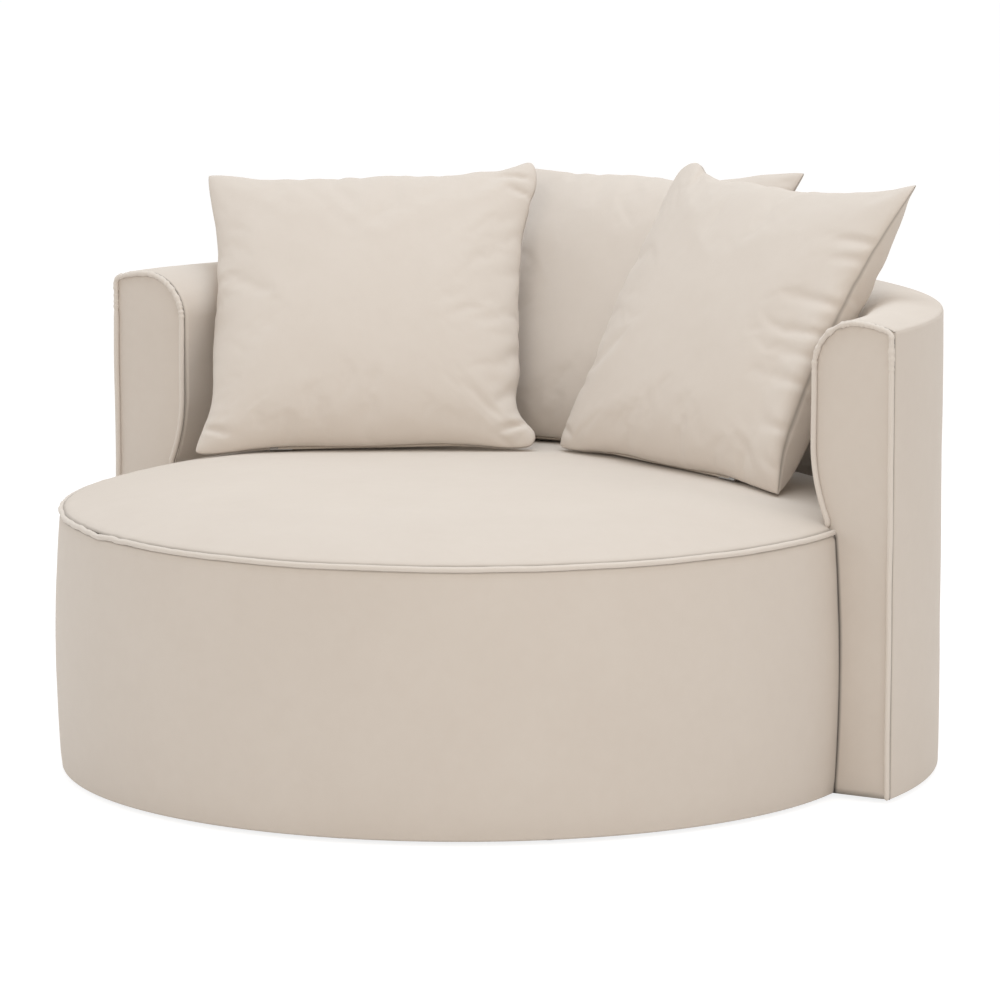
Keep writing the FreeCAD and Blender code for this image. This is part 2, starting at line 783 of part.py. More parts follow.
# Padding and covers of the wall
def wall_soft_parts():
    outer_z = TOP_ARC_Z + root(
        (S.top_radius - S.fabric) * (S.top_radius - S.fabric)
        - (OUTER_PANEL_RADIUS - SHOULDER_CENTRE) * (OUTER_PANEL_RADIUS - SHOULDER_CENTRE)
    )
    start = (WALL_FOOT + S.fabric, SEAT_RAIL_TOP_Z)
    rise = wall_rise(S.fabric)
    rise[-1] = arc(
        (OUTER_PANEL_RADIUS, outer_z), (SHOULDER_CENTRE, TOP_ARC_Z), S.top_radius - S.fabric, -1
    )
    steps = rise + [
        line((OUTER_PANEL_RADIUS, TOP_RAIL_TOP_Z)),
        line((INNER_PANEL_RADIUS, TOP_RAIL_TOP_Z)),
        line((INNER_PANEL_RADIUS, SEAT_RAIL_TOP_Z)),
        line(start),
    ]
    foam = revolved("wall_foam", start, steps, S.wall_centre_y, 180)
    foam = common("wall_foam_c", foam, behind("wall_foam_behind", ARM_BOARD_Y))
    for name in ("left", "right"):
        foam = cut(f"wall_foam_{name}_seat", foam, nodes[f"{name}_arm_board"])
    keep("back_foam", foam)

    outer = wall_points(0)
    inner = wall_points(S.fabric)
    start = (WALL_FOOT, INNER_COVER_LOW_Z)
    down = [
        line(inner["crease"]),
        arc(inner["top"], (SHOULDER_CENTRE, TOP_ARC_Z), S.top_radius - S.fabric, 1),
        arc(inner["shoulder"], (SHOULDER_CENTRE, S.shoulder_z), S.shoulder_radius - S.fabric, 1),
        line(inner["belly"]),
        arc(inner["foot"], (WALL_INNER + S.belly_radius, BELLY_TOP_Z), S.belly_radius - S.fabric, 1),
        line((WALL_FOOT + S.fabric, INNER_COVER_LOW_Z)),
        line(start),
    ]
    skin = revolved("inner_skin", start, wall_rise(0) + down, S.wall_centre_y, 180)
    keep("back_inner_cover", common("inner_skin_c", skin, behind("inner_skin_behind", S.arm_front_y)))

    top = inner["crease"][1]
    hem_inner = S.wall_outer - S.fabric - S.hem
    start = (hem_inner, S.floor_gap)
    steps = [
        line((outer["crease"][0], S.floor_gap)),
        line((outer["crease"][0], top)),
        line((inner["crease"][0], top)),
        line((inner["crease"][0], S.glide)),
        line((hem_inner, S.glide)),
        line(start),
    ]
    skin = revolved("outer_skin", start, steps, S.wall_centre_y, 180)
    keep("back_outer_cover", common("outer_skin_c", skin, behind("outer_skin_behind", ARM_PAD_Y)))


# Bolts, washers and barrel nuts that join the seat base to the wall
def joining_hardware():
    post_inner = BASE_REAR - S.rear_post_depth
    washer_inner = post_inner - S.washer
    head_inner = washer_inner - S.bolt_head
    post_outer = WALL_FOOT + LOWER_POST_DEPTH
    flange_outer = post_outer + S.nut_flange
    barrel_inner = post_outer - S.nut_barrel
    bolts, washers, nuts = [], [], []
    for angle in JOINING_ANGLES:
        hole = S.bolt_radius + S.bolt_clearance
        bolts.append(
            fuse(
                f"bolt_{angle}",
                rod(f"bolt_head_{angle}", angle, head_inner, washer_inner, S.bolt_head_radius),
                rod(f"bolt_shank_{angle}", angle, washer_inner, post_outer, S.bolt_radius),
            )
        )
        washers.append(
            cut(
                f"washer_{angle}",
                rod(f"washer_disc_{angle}", angle, washer_inner, post_inner, S.washer_radius),
                rod(f"washer_hole_{angle}", angle, washer_inner - 1, post_inner + 1, hole),
            )
        )
        flange = rod(f"nut_flange_{angle}", angle, post_outer, flange_outer, S.nut_flange_radius)
        barrel = rod(f"nut_barrel_{angle}", angle, barrel_inner, post_outer, S.nut_barrel_radius)
        thread = rod(f"nut_thread_{angle}", angle, barrel_inner - 1, flange_outer + 1, S.bolt_radius)
        nuts.append(cut(f"nut_{angle}", fuse(f"nut_body_{angle}", flange, barrel), thread))
    keep("joining_bolts", group("bolt_set", bolts))
    keep("joining_washers", group("washer_set", washers))
    keep("joining_nuts", group("nut_set", nuts))


# Glides under the boards, with the nails that hold them
def glide_places():
    """Centres of the glides as sizes: one at the axis, a ring under the base and a ring under the wall."""
    places = [(Size(0), Size(0))]
    for angle in FRONT_POST_ANGLES:
        turn = math.radians(angle)
        places.append((BASE_GLIDE_CIRCLE * math.cos(turn), BASE_GLIDE_CIRCLE * math.sin(turn)))
    for angle in JOINING_ANGLES:
        turn = math.radians(angle)
        reach = BASE_REAR - S.rear_post_depth / 2
        places.append((reach * math.cos(turn), S.wall_centre_y + reach * math.sin(turn)))
    for angle in BACK_GLIDE_ANGLES:
        turn = math.radians(angle)
        reach = BACK_GLIDE_CIRCLE
        places.append((reach * math.cos(turn), S.wall_centre_y + reach * math.sin(turn)))
    return places


def upright(name, place, radius, low, high):
    obj = cylinder(name, radius, low, high, place[1])
    bind(obj, "Placement.Base.x", place[0])
    return obj


def glides():
    discs, nails = [], []
    for number, place in enumerate(glide_places()):
        nail_low = S.glide - S.nail_seat
        discs.append(upright(f"glide_disc_{number}", place, S.glide_radius, 0, S.glide))
        nails.append(upright(f"nail_{number}", place, S.nail_radius, nail_low, nail_low + S.nail_length))
    pins = group("nail_set", nails)
    keep("glide_nails", pins)
    keep("floor_glides", cut("glide_set", group("glide_discs", discs), pins))
    for label in ("base_board", "back_bottom_rail"):
        keep(label, cut(label + "_nailed", nodes[label], pins))
    base_sheet = plan("base_sheet", SIDE_PANEL_INNER, BASE_REAR, S.glide, FRAME_Z)
    keep("base_dust_cover", cut("base_sheet_nailed", base_sheet, pins))
    keep("back_dust_cover", cut("back_sheet_nailed", nodes["back_dust_cover"], pins))


# Loose cushions, each in its own frame: x across, y up its face, z out of its front
STATIONS = (-1, -0.93, -0.8, -0.6, -0.3, 0, 0.3, 0.6, 0.8, 0.93, 1)
STRAIGHT = 0.6


def pillow(width, height, thickness, rim):
    """A crowned square pad with a thin rim, whose four sides draw in between the corners."""
    draw, low_draw = S.cushion_draw.value, S.cushion_low_draw.value

    def section(station, face):
        over = max(0.0, (abs(station) - STRAIGHT) / (1 - STRAIGHT))
        high = height / 2 - draw * (1 - over**2)
        low = -height / 2 + low_draw * (1 - over**2)
        swell = (thickness - rim) / 2 * (1 - abs(station) ** 3) ** 0.62
        x = station * width / 2
        middle = x - math.copysign(draw * abs(station) ** 6, station)
        level = face * rim / 2
        ends = V(x, low, level), V(x, high, level)
        return Part.Wire([Part.Arc(ends[0], V(middle, 0, level + face * swell), ends[1]).toShape()])

    skins = []
    for face in (1, -1):
        loft = Part.makeLoft([section(s, face) for s in STATIONS], False, False)
        skins.append(loft.Faces[0])
    front, back = skins

    def edge_near(skin, point):
        return min(skin.Edges, key=lambda e: e.distToShape(Part.Vertex(point))[0])

    faces = list(skins)
    rims = [V(0, height / 2 - draw, 0), V(0, low_draw - height / 2, 0)]
    rims += [V(side * (width / 2 - draw), 0, 0) for side in (-1, 1)]
    for point in rims:
        pair = [edge_near(s, V(point.x, point.y, z * rim / 2)) for s, z in ((front, 1), (back, -1))]
        faces.append(Part.makeRuledSurface(*pair))
    shell = Part.makeCompound(faces)
    shell.sewShape()
    solid = Part.Solid(shell.Shells[0])
    if solid.Volume < 0:
        solid.reverse()
    return solid


def block(x, y, z):
    """A plain box from its limits."""
    return Part.makeBox(x[1] - x[0], y[1] - y[0], z[1] - z[0], V(x[0], y[0], z[0]))


def cushion_frame(place):
    """Placement of a cushion: both bottom corners on the crowned seat, turned and leaning back."""
    turn = math.radians(place["turn"])
    lean = math.radians(place["lean"])
    half = S.cushion_width.value / 2
    reach = WALL_INNER.value - S.cushion_thickness.value - place["foot"]
    middle_x = reach * math.cos(math.radians(place["round"]))
    middle_y = S.wall_centre_y.value + reach * math.sin(math.radians(place["round"]))
    heights = [
        seat_height_at(middle_x + s * half * math.cos(turn), middle_y + s * half * math.sin(turn))
        for s in (-1, 1)
    ]
    roll = math.asin((heights[1] - heights[0]) / S.cushion_width.value)
    across = V(math.cos(turn) * math.cos(roll), math.sin(turn) * math.cos(roll), math.sin(roll))
    outward = V(math.sin(turn), -math.cos(turn), 0)
    rise = UP * math.cos(lean) - outward * math.sin(lean)
    rise = (rise - across * across.dot(rise)).normalize()
    facing = across.cross(rise)
    lift = S.cushion_rest.value + S.cushion_rim.value / 2 * abs(facing.z)
    foot = V(middle_x, middle_y, sum(heights) / 2 + lift)
    centre = foot + rise * (S.cushion_height.value / 2)
    matrix = FreeCAD.Matrix(
        across.x, rise.x, facing.x, centre.x,
        across.y, rise.y, facing.y, centre.y,
        across.z, rise.z, facing.z, centre.z,
        0, 0, 0, 1,
    )
    return FreeCAD.Placement(matrix)


def cushion_shapes():
    """The solids of one cushion in its own frame: fill, two panels, zip and zip slider."""
    width, height = S.cushion_width.value, S.cushion_height.value
    thickness, rim = S.cushion_thickness.value, S.cushion_rim.value
    wall, gap = S.cover.value, S.layer_gap.value
    outer = pillow(width, height, thickness, rim)
    inner = pillow(width - 4 * wall, height - 4 * wall, thickness - 2 * wall, rim - 2 * wall)
    shrink = wall + gap
    fill = pillow(
        width - 4 * shrink, height - 4 * shrink, thickness - 2 * shrink, rim - 2 * shrink
    )
    cover = outer.cut(inner)
    bottom = -(height / 2 - S.cushion_low_draw.value)
    half_zip = S.zip_length.value / 2
    notch_top = bottom + S.zip_depth.value
    notch = block((-half_zip, half_zip), (bottom - rim, notch_top), (-2 * rim, 2 * rim))
    far = width
    panels = []
    for low, high in ((0, far), (-far, 0)):
        panels.append(cover.common(block((-far, far), (-far, far), (low, high))).cut(notch))
    fill = fill.cut(notch)

    tape = S.zip_tape.value / 2
    tape_low = notch_top - S.teeth.value
    sewn = notch_top - S.zip_hem.value
    teeth = block((-half_zip, half_zip), (tape_low, notch_top), (-tape, tape))
    hem = block((-half_zip, half_zip), (sewn, notch_top), (-rim / 2, rim / 2))
    zip_tape = teeth.fuse(hem).removeSplitter()

    clear = S.slider_gap.value
    pull = S.pull_thickness.value
    slider_half = rim / 2 - clear
    slider_low = bottom + clear
    slider_high = sewn - clear
    start = half_zip - clear
    ends = (start - S.slider_length.value, start)
    body = block(ends, (slider_low, slider_high), (-slider_half, slider_half))
    channel = block(
        (ends[0] - 1, ends[1] + 1),
        (tape_low - clear, slider_high + 1),
        (-tape - clear, tape + clear),
    )
    tab = block(
        (ends[0] - S.pull_length.value, ends[0] + 1),
        (slider_low, slider_low + pull),
        (-slider_half + clear, slider_half - clear),
    )
    slider = body.cut(channel).fuse(tab).removeSplitter()
    return {
        "fill": fill,
        "front_panel": panels[0],
        "back_panel": panels[1],
        "zip": zip_tape,
        "zip_slider": slider,
    }


def cushions():
    shapes = cushion_shapes()
    for name, place in CUSHION_PLACES.items():
        frame = cushion_frame(place)
        for piece, shape in shapes.items():
            solid = doc.addObject("Part::Feature", f"{name}_{piece}_shape")
            mirrored = piece == "zip_slider" and place["closed"] < 0
            solid.Shape = shape.mirror(V(0, 0, 0), V(1, 0, 0)) if mirrored else shape.copy()
            solid.Placement = frame
            keep(f"{name}_{piece}", solid)


keep("base_board", board("base_board", FRAME_Z))
keep("seat_deck", board("seat_deck", S.deck_z))
base_posts()
webbing()
seat_soft_parts()
drum_side()
wall_frame()
arm_front("left", -1)
arm_front("right", 1)
wall_soft_parts()
joining_hardware()
glides()
cushions()
doc.recompute()

# Every object is checked before anything is written
problems = [obj.Name for obj in doc.Objects if "Invalid" in obj.State or "Error" in obj.State]
for label, obj in nodes.items():
    if obj.Shape.isNull() or not obj.Shape.isValid() or not obj.Shape.Solids:
        problems.append(label)
if problems:
    raise RuntimeError("these objects failed: " + ", ".join(problems))

os.makedirs("parts", exist_ok=True)
for label, obj in nodes.items():
    obj.Shape.exportStep(f"parts/{label}.step")
    print(label, len(obj.Shape.Solids), "solids", round(obj.Shape.Volume), "mm3")
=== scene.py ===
"""The look of the round armchair: its fabric skins, piping, loose cushions, materials and light.

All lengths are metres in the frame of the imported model: the origin is on the floor at the round
seat's axis, +Z is up and the open front looks along -Y.
"""

import json
import math

import bmesh
import bpy
import numpy as np
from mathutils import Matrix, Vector, noise
from mathutils.bvhtree import BVHTree

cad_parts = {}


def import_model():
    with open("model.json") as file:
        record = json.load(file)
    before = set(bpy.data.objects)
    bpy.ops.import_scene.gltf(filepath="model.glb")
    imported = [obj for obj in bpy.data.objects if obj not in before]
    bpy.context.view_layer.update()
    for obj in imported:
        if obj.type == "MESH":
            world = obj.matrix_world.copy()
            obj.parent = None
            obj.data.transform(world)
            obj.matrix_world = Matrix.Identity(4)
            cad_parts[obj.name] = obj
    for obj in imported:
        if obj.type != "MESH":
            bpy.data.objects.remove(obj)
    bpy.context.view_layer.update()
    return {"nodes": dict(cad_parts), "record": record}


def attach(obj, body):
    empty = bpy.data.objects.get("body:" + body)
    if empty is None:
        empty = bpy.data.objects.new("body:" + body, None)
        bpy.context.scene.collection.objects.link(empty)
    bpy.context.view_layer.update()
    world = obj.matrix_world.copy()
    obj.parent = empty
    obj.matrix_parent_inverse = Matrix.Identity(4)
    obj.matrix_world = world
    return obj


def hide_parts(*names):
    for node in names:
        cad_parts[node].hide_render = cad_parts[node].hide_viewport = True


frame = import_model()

# Sizes that the skins share with the solids under them
WALL_OUTER = 0.75
WALL_CENTRE_Y = 0.046
ARM_FRONT_Y = 0.073
WALL_FOOT = 0.63
WALL_INNER = 0.605
BELLY_TOP_Z = 0.56
BELLY_RADIUS = 0.3
SHOULDER_Z = 0.682
SHOULDER_RADIUS = 0.078
TOP_RADIUS = 0.18
WALL_TOP_Z = SHOULDER_Z + SHOULDER_RADIUS
SHOULDER_CENTRE = WALL_INNER + SHOULDER_RADIUS
TOP_ARC_Z = WALL_TOP_Z - TOP_RADIUS
FABRIC = 0.0015
FLOOR_GAP = 0.0065
PIPING_RADIUS = 0.0045
HEM = 0.024
HEM_BEND = 0.004

DRUM_RADIUS = 0.661
DRUM_BELLY_Z = 0.201
DRUM_BELLY_ARC = 2.37
BAND_TOP_Z = 0.419
SEAT_RIM_RADIUS = 0.649
SEAT_RIM_Z = 0.428
SEAT_CROWN = 0.05
SEAT_FLAT_RADIUS = 0.4
SEAT_FLAT_DROP = 0.007
SEAT_REAR_RADIUS = 0.6295
SEAT_EDGE_GAP = 0.0015

CUSHION_WIDTH = 0.55
CUSHION_HEIGHT = 0.53
CUSHION_RIM = 0.006
CUSHION_REST = 0.0004
ZIP_LENGTH = 0.32

CUSHIONS = {
    "left_cushion": {"x": -0.279, "y": 0.13, "turn": 29.5, "lean": 32.5, "seed": 3, "slack": 0.5},
    "middle_cushion": {"x": -0.028, "y": 0.404, "turn": 0.0, "lean": 30.0, "seed": 11, "slack": 0.4},
    "right_cushion": {"x": 0.252, "y": 0.222, "turn": -18.4, "lean": 28.8, "seed": 23, "slack": 0.5},
}

# How far the skins stand proud of the covers' solids, and how far they may lie inside them at seams
PROUD = 0.0005
RECESS = 0.0012

# Points of a wall cover round the C
WALL_COLUMNS = 460

# How round the crease between the wall's top and its outer face is, how far its points lie dense,
# and how far the covers beside it are calm
CREASE_ROUND = 0.008
CREASE_ZONE = 0.012
CREASE_CALM = 0.05

# How far from a seam of the seat its pull reaches, over which y the seat's rim passes between the
# arms, and over which heights the covers swell above their hems
SEAM_ZONE = 0.03
ARM_REACH_Y = (0.06, 0.085)
HEM_FADE = (0.01, 0.035)

# Slow unevenness of each cover: layers of a height, a scale and a seed
SEAT_UNEVEN = ((0.001, 5.0, 1), (0.0005, 17.0, 2))
BAND_UNEVEN = ((0.0014, 3.2, 5), (0.0004, 11.0, 6))
INNER_UNEVEN = ((0.0009, 5.0, 12), (0.0004, 16.0, 13))
OUTER_UNEVEN = ((0.0012, 2.8, 21), (0.0004, 12.0, 22))

# Bend of an arm's piping at its outer corner, in radii of the cord
PIPING_BEND = 2.6

# Painted shade in the joint where the drum's side meets an arm's front, and how strongly and how
# dark the painted shade is at a seam
JOINT_WIDTH = 0.008
JOINT_SHADE = 2.2
SEAM_SHADE_STRENGTH = 0.43
SEAM_SHADE_DARKNESS = 0.12

# The visible cover is a little thinner in the middle than the solid and fuller at its corners
COVER_THICKNESS = 0.138
FULLNESS = 0.52
ZIP_GROOVE = 0.0055
SEAT_SKIN = 0.004
WALL_SKIN = 0.003
CUSHION_CLEAR = 0.0012
CUSHION_NEAR = 0.08
SEAM_DRAWN = 0.0018

# Faces along a side of a cover and of the fibre bag in it, and how much smaller the bag is
COVER_CELLS = 84
BAG_CELLS = 24
BAG_INSET = 0.026
BAG_SHARE = (0.94, 0.92, 1.0)

# The simulated wrinkles: frames, settings, rounds of averaging and the most that a point moves
CLOTH_FRAMES = 22
CLOTH_SETTINGS = {
    "quality": 6, "mass": 0.25, "tension_stiffness": 18, "compression_stiffness": 18,
    "shear_stiffness": 8, "bending_stiffness": 0.25, "use_pressure": True,
    "uniform_pressure_force": 4.0, "shrink_min": -0.035,
}
WRINKLE_ROUNDS = 40
WRINKLE_CAP = 0.01

# How far a cushion's right seam has slid to the front, from its foot up, and how much fuller the
# back is beside it
SEAM_FORWARD = {
    "right_cushion": ((-1, 0), (-0.8, 0.017), (-0.3, 0.022), (0.4, 0.01), (0.8, 0.005), (1, 0)),
}
BACK_FULLNESS = {"right_cushion": 0.018}


def foot_seam(left_end, right_end):
    """A cushion's lower seam: straight along the zip, with its two ends as they are given."""
    zip_run = ((-0.8, -0.003), (-0.6, -0.0115), (0, -0.0115), (0.6, -0.0115), (0.8, -0.003))
    return ((-1, left_end), *zip_run, (1, right_end))


# How far each seam of a cushion lies outside a true rectangle, in metres, along the side
SIDES = {
    "left_cushion": {
        "left": ((-1, 0.022), (-0.9, 0.011), (-0.72, -0.005), (-0.2, -0.013), (0.5, -0.011), (1, 0.008)),
        "right": (
            (-1, 0.013), (-0.92, 0.015), (-0.78, -0.008), (-0.4, -0.013), (0.3, -0.011), (0.55, -0.004),
            (0.72, 0.006), (0.83, 0.014), (1, 0.018),
        ),
        "top": (
            (-1, 0.008), (-0.88, 0.003), (-0.7, -0.004), (0, -0.007), (0.6, -0.003), (0.88, 0.01),
            (1, 0.026),
        ),
        "bottom": foot_seam(0.001, 0),
    },
    "middle_cushion": {
        "left": ((-1, 0.004), (-0.8, -0.008), (0, -0.016), (0.8, -0.01), (1, 0)),
        "right": ((-1, 0.004), (-0.8, -0.008), (0, -0.016), (0.8, -0.001), (1, 0.018)),
        "top": ((-1, -0.008), (-0.8, -0.015), (-0.2, -0.022), (0.4, -0.022), (0.8, -0.004), (1, 0.006)),
        "bottom": foot_seam(0, 0),
    },
    "right_cushion": {
        "left": ((-1, 0.01), (-0.85, 0.006), (-0.5, 0), (0, 0.003), (0.5, 0.003), (0.8, 0.004), (1, 0.004)),
        "right": ((-1, 0.002), (-0.85, -0.005), (-0.5, -0.015), (0.4, -0.016), (0.8, 0.003), (1, 0.017)),
        "top": (
            (-1, 0.006), (-0.88, 0.012), (-0.74, -0.003), (-0.3, -0.011), (0.4, -0.006), (0.8, 0.014),
            (1, 0.032),
        ),
        "bottom": foot_seam(0.002, 0.004),
    },
}

# How blunt the corners are: low left, low right, high left and high right
BLUNT = {
    "left_cushion": (0.012, 0.01, 0.006, 0.015),
    "middle_cushion": (0.007, 0.007, 0.008, 0.006),
    "right_cushion": (0.01, 0.007, 0.012, 0.005),
}

# Creases in the front of each cover: two ends as shares of the half sizes, depth and half width.
# The depth is whole at the first end and dies out towards the second.
CREASES = {
    "left_cushion": (
        (0.99, 0.9, 0.7, 0.93, 0.011, 0.006),
        (1.0, 0.78, 0.8, 0.84, 0.011, 0.006),
        (0.98, -0.83, 0.76, -0.9, 0.013, 0.006),
        (0.9, -0.99, 0.74, -0.84, 0.007, 0.008),
        (0.98, -0.3, 0.66, -0.62, 0.005, 0.014),
        (0.98, -0.55, 0.6, -0.9, 0.005, 0.014),
        (-0.97, -0.82, -0.72, -0.9, 0.009, 0.007),
        (-0.5, -0.99, -0.4, -0.74, 0.008, 0.01),
        (-0.24, -0.99, -0.2, -0.82, 0.005, 0.009),
        (0.04, -0.99, 0.0, -0.8, 0.006, 0.009),
        (-0.97, 0.95, -0.8, 0.84, 0.003, 0.01),
        (-0.2, 0.99, -0.16, 0.9, 0.002, 0.008),
        (0.45, 0.99, 0.4, 0.88, 0.0025, 0.008),
    ),
    "middle_cushion": (
        (-0.6, 0.98, -0.45, 0.7, 0.003, 0.012),
        (0.95, 0.92, 0.75, 0.78, 0.003, 0.01),
        (-0.45, -0.99, -0.35, -0.75, 0.006, 0.012),
        (-0.2, -0.99, -0.2, -0.8, 0.003, 0.01),
    ),
    "right_cushion": (
        (0.99, 0.66, 0.5, 0.6, 0.0075, 0.009),
        (0.99, 0.54, 0.62, 0.48, 0.0055, 0.008),
        (0.99, 0.22, 0.42, 0.2, 0.0065, 0.01),
        (0.99, 0.02, 0.34, -0.04, 0.0075, 0.009),
        (0.99, -0.14, 0.55, -0.16, 0.0055, 0.008),
        (0.99, -0.32, 0.44, -0.3, 0.006, 0.01),
        (0.99, -0.62, 0.66, -0.6, 0.006, 0.009),
        (0.95, -0.86, 0.78, -0.76, 0.006, 0.008),
        (-0.36, -0.99, -0.3, -0.8, 0.0065, 0.009),
        (0.16, -0.99, 0.14, -0.72, 0.007, 0.01),
        (0.46, -0.99, 0.44, -0.8, 0.0055, 0.008),
        (0.7, -0.99, 0.66, -0.78, 0.006, 0.008),
        (-0.76, 0.98, -0.66, 0.8, 0.01, 0.009),
        (-0.97, -0.86, -0.8, -0.92, 0.008, 0.007),
        (-0.97, -0.55, -0.8, -0.62, 0.004, 0.01),
    ),
}


# Small numeric helpers
def ramp(low, high, value):
    """0 below low, 1 above high and smooth between them."""
    t = np.clip((value - low) / (high - low), 0.0, 1.0)
    return t * t * (3 - 2 * t)


def rough(points, scale, seed):
    """Smooth noise from about -1 to 1 at each point."""
    shift = Vector((seed * 7.13, seed * 3.71, seed * 5.19))
    flat = points.reshape(-1, 3)
    values = [noise.fractal(Vector(p) * scale + shift, 1.0, 2.0, 2) for p in flat]
    return np.array(values).reshape(points.shape[:-1])


def wave(lengths, scale, seed):
    """Smooth one-dimensional noise along a list of lengths."""
    values = [noise.noise(Vector((t * scale + seed, seed * 1.7, 0.3))) for t in np.ravel(lengths)]
    return np.array(values).reshape(np.shape(lengths))


def uneven_by(points, layers):
    """Slow unevenness, the sum of layers that each have a height, a scale and a seed."""
    return sum(height * rough(points, scale, seed) for height, scale, seed in layers)


def gathered(along, scale, seed, distance, depth):
    """Gathers along a seam, which die out over their depth."""
    return wave(along, scale, seed) * np.exp(-((distance / depth) ** 2))


def dip(depth, width, distance):
    """How far a cover dips into a seam at each distance from it."""
    return depth * (1 - ramp(0.0, width, distance))


def arc(centre, radius, start, end, count):
    """Points of an arc, its last point left out. The angles are in degrees."""
    angles = np.radians(np.linspace(start, end, count, endpoint=False))
    return np.stack([centre[0] + radius * np.cos(angles), centre[1] + radius * np.sin(angles)], 1)


def straight(start, end, count):
    """Points of a straight run, its last point left out."""
    t = np.linspace(0, 1, count, endpoint=False)[:, None]
    return np.array(start) * (1 - t) + np.array(end) * t


def run_lengths(points):
    """Length along a line at each of its points."""
    steps = np.linalg.norm(np.diff(points, axis=0), axis=1)
    return np.concatenate([[0], np.cumsum(steps)])


def resample(points, count, closed=False):
    """The same line as count evenly spaced points."""
    if closed:
        points = np.vstack([points, points[:1]])
    along = run_lengths(points)
    targets = np.linspace(0, along[-1], count, endpoint=not closed)
    return np.stack([np.interp(targets, along, points[:, k]) for k in range(points.shape[1])], 1)


def line_normals(line):
    """Unit normals of a flat line, on the right of its run."""
    steps = np.gradient(line, axis=0)
    normals = np.stack([steps[:, 1], -steps[:, 0]], 1)
    return normals / np.linalg.norm(normals, axis=1, keepdims=True)


def nearest(outline, points):
    """Distance of each point to an outline."""
    return np.array([np.linalg.norm(outline - p, axis=1).min() for p in points])


def grid_normals(grid):
    """Unit normals of a grid of points, along d(first index) x d(second index)."""
    across = np.gradient(grid, axis=0)
    along = np.gradient(grid, axis=1)
    normals = np.cross(across, along)
    return normals / np.maximum(np.linalg.norm(normals, axis=2, keepdims=True), 1e-12)


# Mesh builders
def link(obj):
    bpy.context.scene.collection.objects.link(obj)
    return obj


def evaluated(obj):
    return obj.evaluated_get(bpy.context.evaluated_depsgraph_get())


def new_object(name, vertices, faces):
    mesh = bpy.data.meshes.new(name)
    mesh.from_pydata([tuple(v) for v in vertices], [], faces)
    mesh.validate()
    mesh.update()
    mesh.polygons.foreach_set("use_smooth", [True] * len(mesh.polygons))
    return link(bpy.data.objects.new(name, mesh))


def coordinates(mesh):
    values = np.empty(len(mesh.vertices) * 3)
    mesh.vertices.foreach_get("co", values)
    return values.reshape(-1, 3)


def set_coordinates(mesh, values):
    mesh.vertices.foreach_set("co", np.ravel(values))
    mesh.update()


def grid_faces(rows, columns, first=0, flip=False, wrap=False):
    """Quads over a grid of points numbered from first. wrap joins the last column to column 0."""
    faces = []
    for low in range(first, first + (rows - 1) * columns, columns):
        high = low + columns
        for j in range(columns if wrap else columns - 1):
            k = (j + 1) % columns
            quad = (low + j, low + k, high + k, high + j)
            faces.append(quad[::-1] if flip else quad)
    return faces


def rim_faces(rows, columns, second, wrap):
    """Quads that close the edges between two grids, the second numbered from second."""
    border = [(rows - 1, j) for j in range(columns)]
    if not wrap:
        border = [(0, j) for j in range(columns)]
        border += [(i, columns - 1) for i in range(1, rows)]
        border += [(rows - 1, j) for j in range(columns - 2, -1, -1)]
        border += [(i, 0) for i in range(rows - 2, 0, -1)]
    loop = [i * columns + j for i, j in border]
    return [(a, second + a, second + b, b) for a, b in zip(loop, loop[1:] + loop[:1])]


def skin(name, outer, inner, wrap=False):
    """A closed fabric skin from its outer and inner grids. wrap joins the ends of their rows."""
    rows, columns = outer.shape[:2]
    count = rows * columns
    faces = grid_faces(rows, columns, wrap=wrap)
    faces += grid_faces(rows, columns, count, flip=True, wrap=wrap)
    faces += rim_faces(rows, columns, count, wrap)
    vertices = np.vstack([outer.reshape(-1, 3), inner.reshape(-1, 3)])
    return face_outward(new_object(name, vertices, faces))


def face_outward(obj):
    """Turns a closed mesh's faces outward."""
    work = bmesh.new()
    work.from_mesh(obj.data)
    bmesh.ops.remove_doubles(work, verts=work.verts, dist=1e-6)
    bmesh.ops.recalc_face_normals(work, faces=work.faces)
    work.to_mesh(obj.data)
    work.free()
    return obj


def tube(name, path, radii, sides=18):
    """A closed tube along a path, with a radius for each point and rounded ends."""
    path = np.array(path)
    tangents = np.gradient(path, axis=0)
    tangents /= np.linalg.norm(tangents, axis=1, keepdims=True)
    side = np.cross(tangents[0], (0.31, 0.17, 0.93))
    rings = []
    for point, tangent, radius in zip(path, tangents, radii):
        side = side - tangent * np.dot(side, tangent)
        side /= np.linalg.norm(side)
        other = np.cross(tangent, side)
        turns = np.linspace(0, 2 * math.pi, sides, endpoint=False)[:, None]
        rings.append(point + radius * (np.cos(turns) * side + np.sin(turns) * other))
    vertices = np.vstack(rings + [path[:1], path[-1:]])
    faces = grid_faces(len(path), sides, wrap=True)
    tip = len(path) * sides
    last = tip - sides
    for k in range(sides):
        n = (k + 1) % sides
        faces += [(tip, n, k), (tip + 1, last + k, last + n)]
    return face_outward(new_object(name, vertices, faces))


def round_ends(count, radius):
    """Radii of a tube that close quickly to a point at both ends."""
    radii = np.full(count, radius)
    for k, share in enumerate((0.35, 0.75, 0.93)):
        radii[k] *= share
        radii[-1 - k] *= share
    return radii


# Painted shade beside the fabric's seams
def seam_shade(distance, width=0.0045):
    """Painted shade next to a seam: how much darker the fabric is painted there, dying out over its width.
    """
    return 1 - ramp(0.0, width, distance)


def joint_shade(distance):
    """Painted shade in the deep joint between the drum and an arm."""
    return JOINT_SHADE * seam_shade(distance, JOINT_WIDTH)


def shade_fabric(obj, shade_at):
    """Keeps the painted shade at each point, for its material."""
    shade = obj.data.attributes.new("seam_shade", "FLOAT", "POINT")
    shade.data.foreach_set("value", shade_at(coordinates(obj.data)))


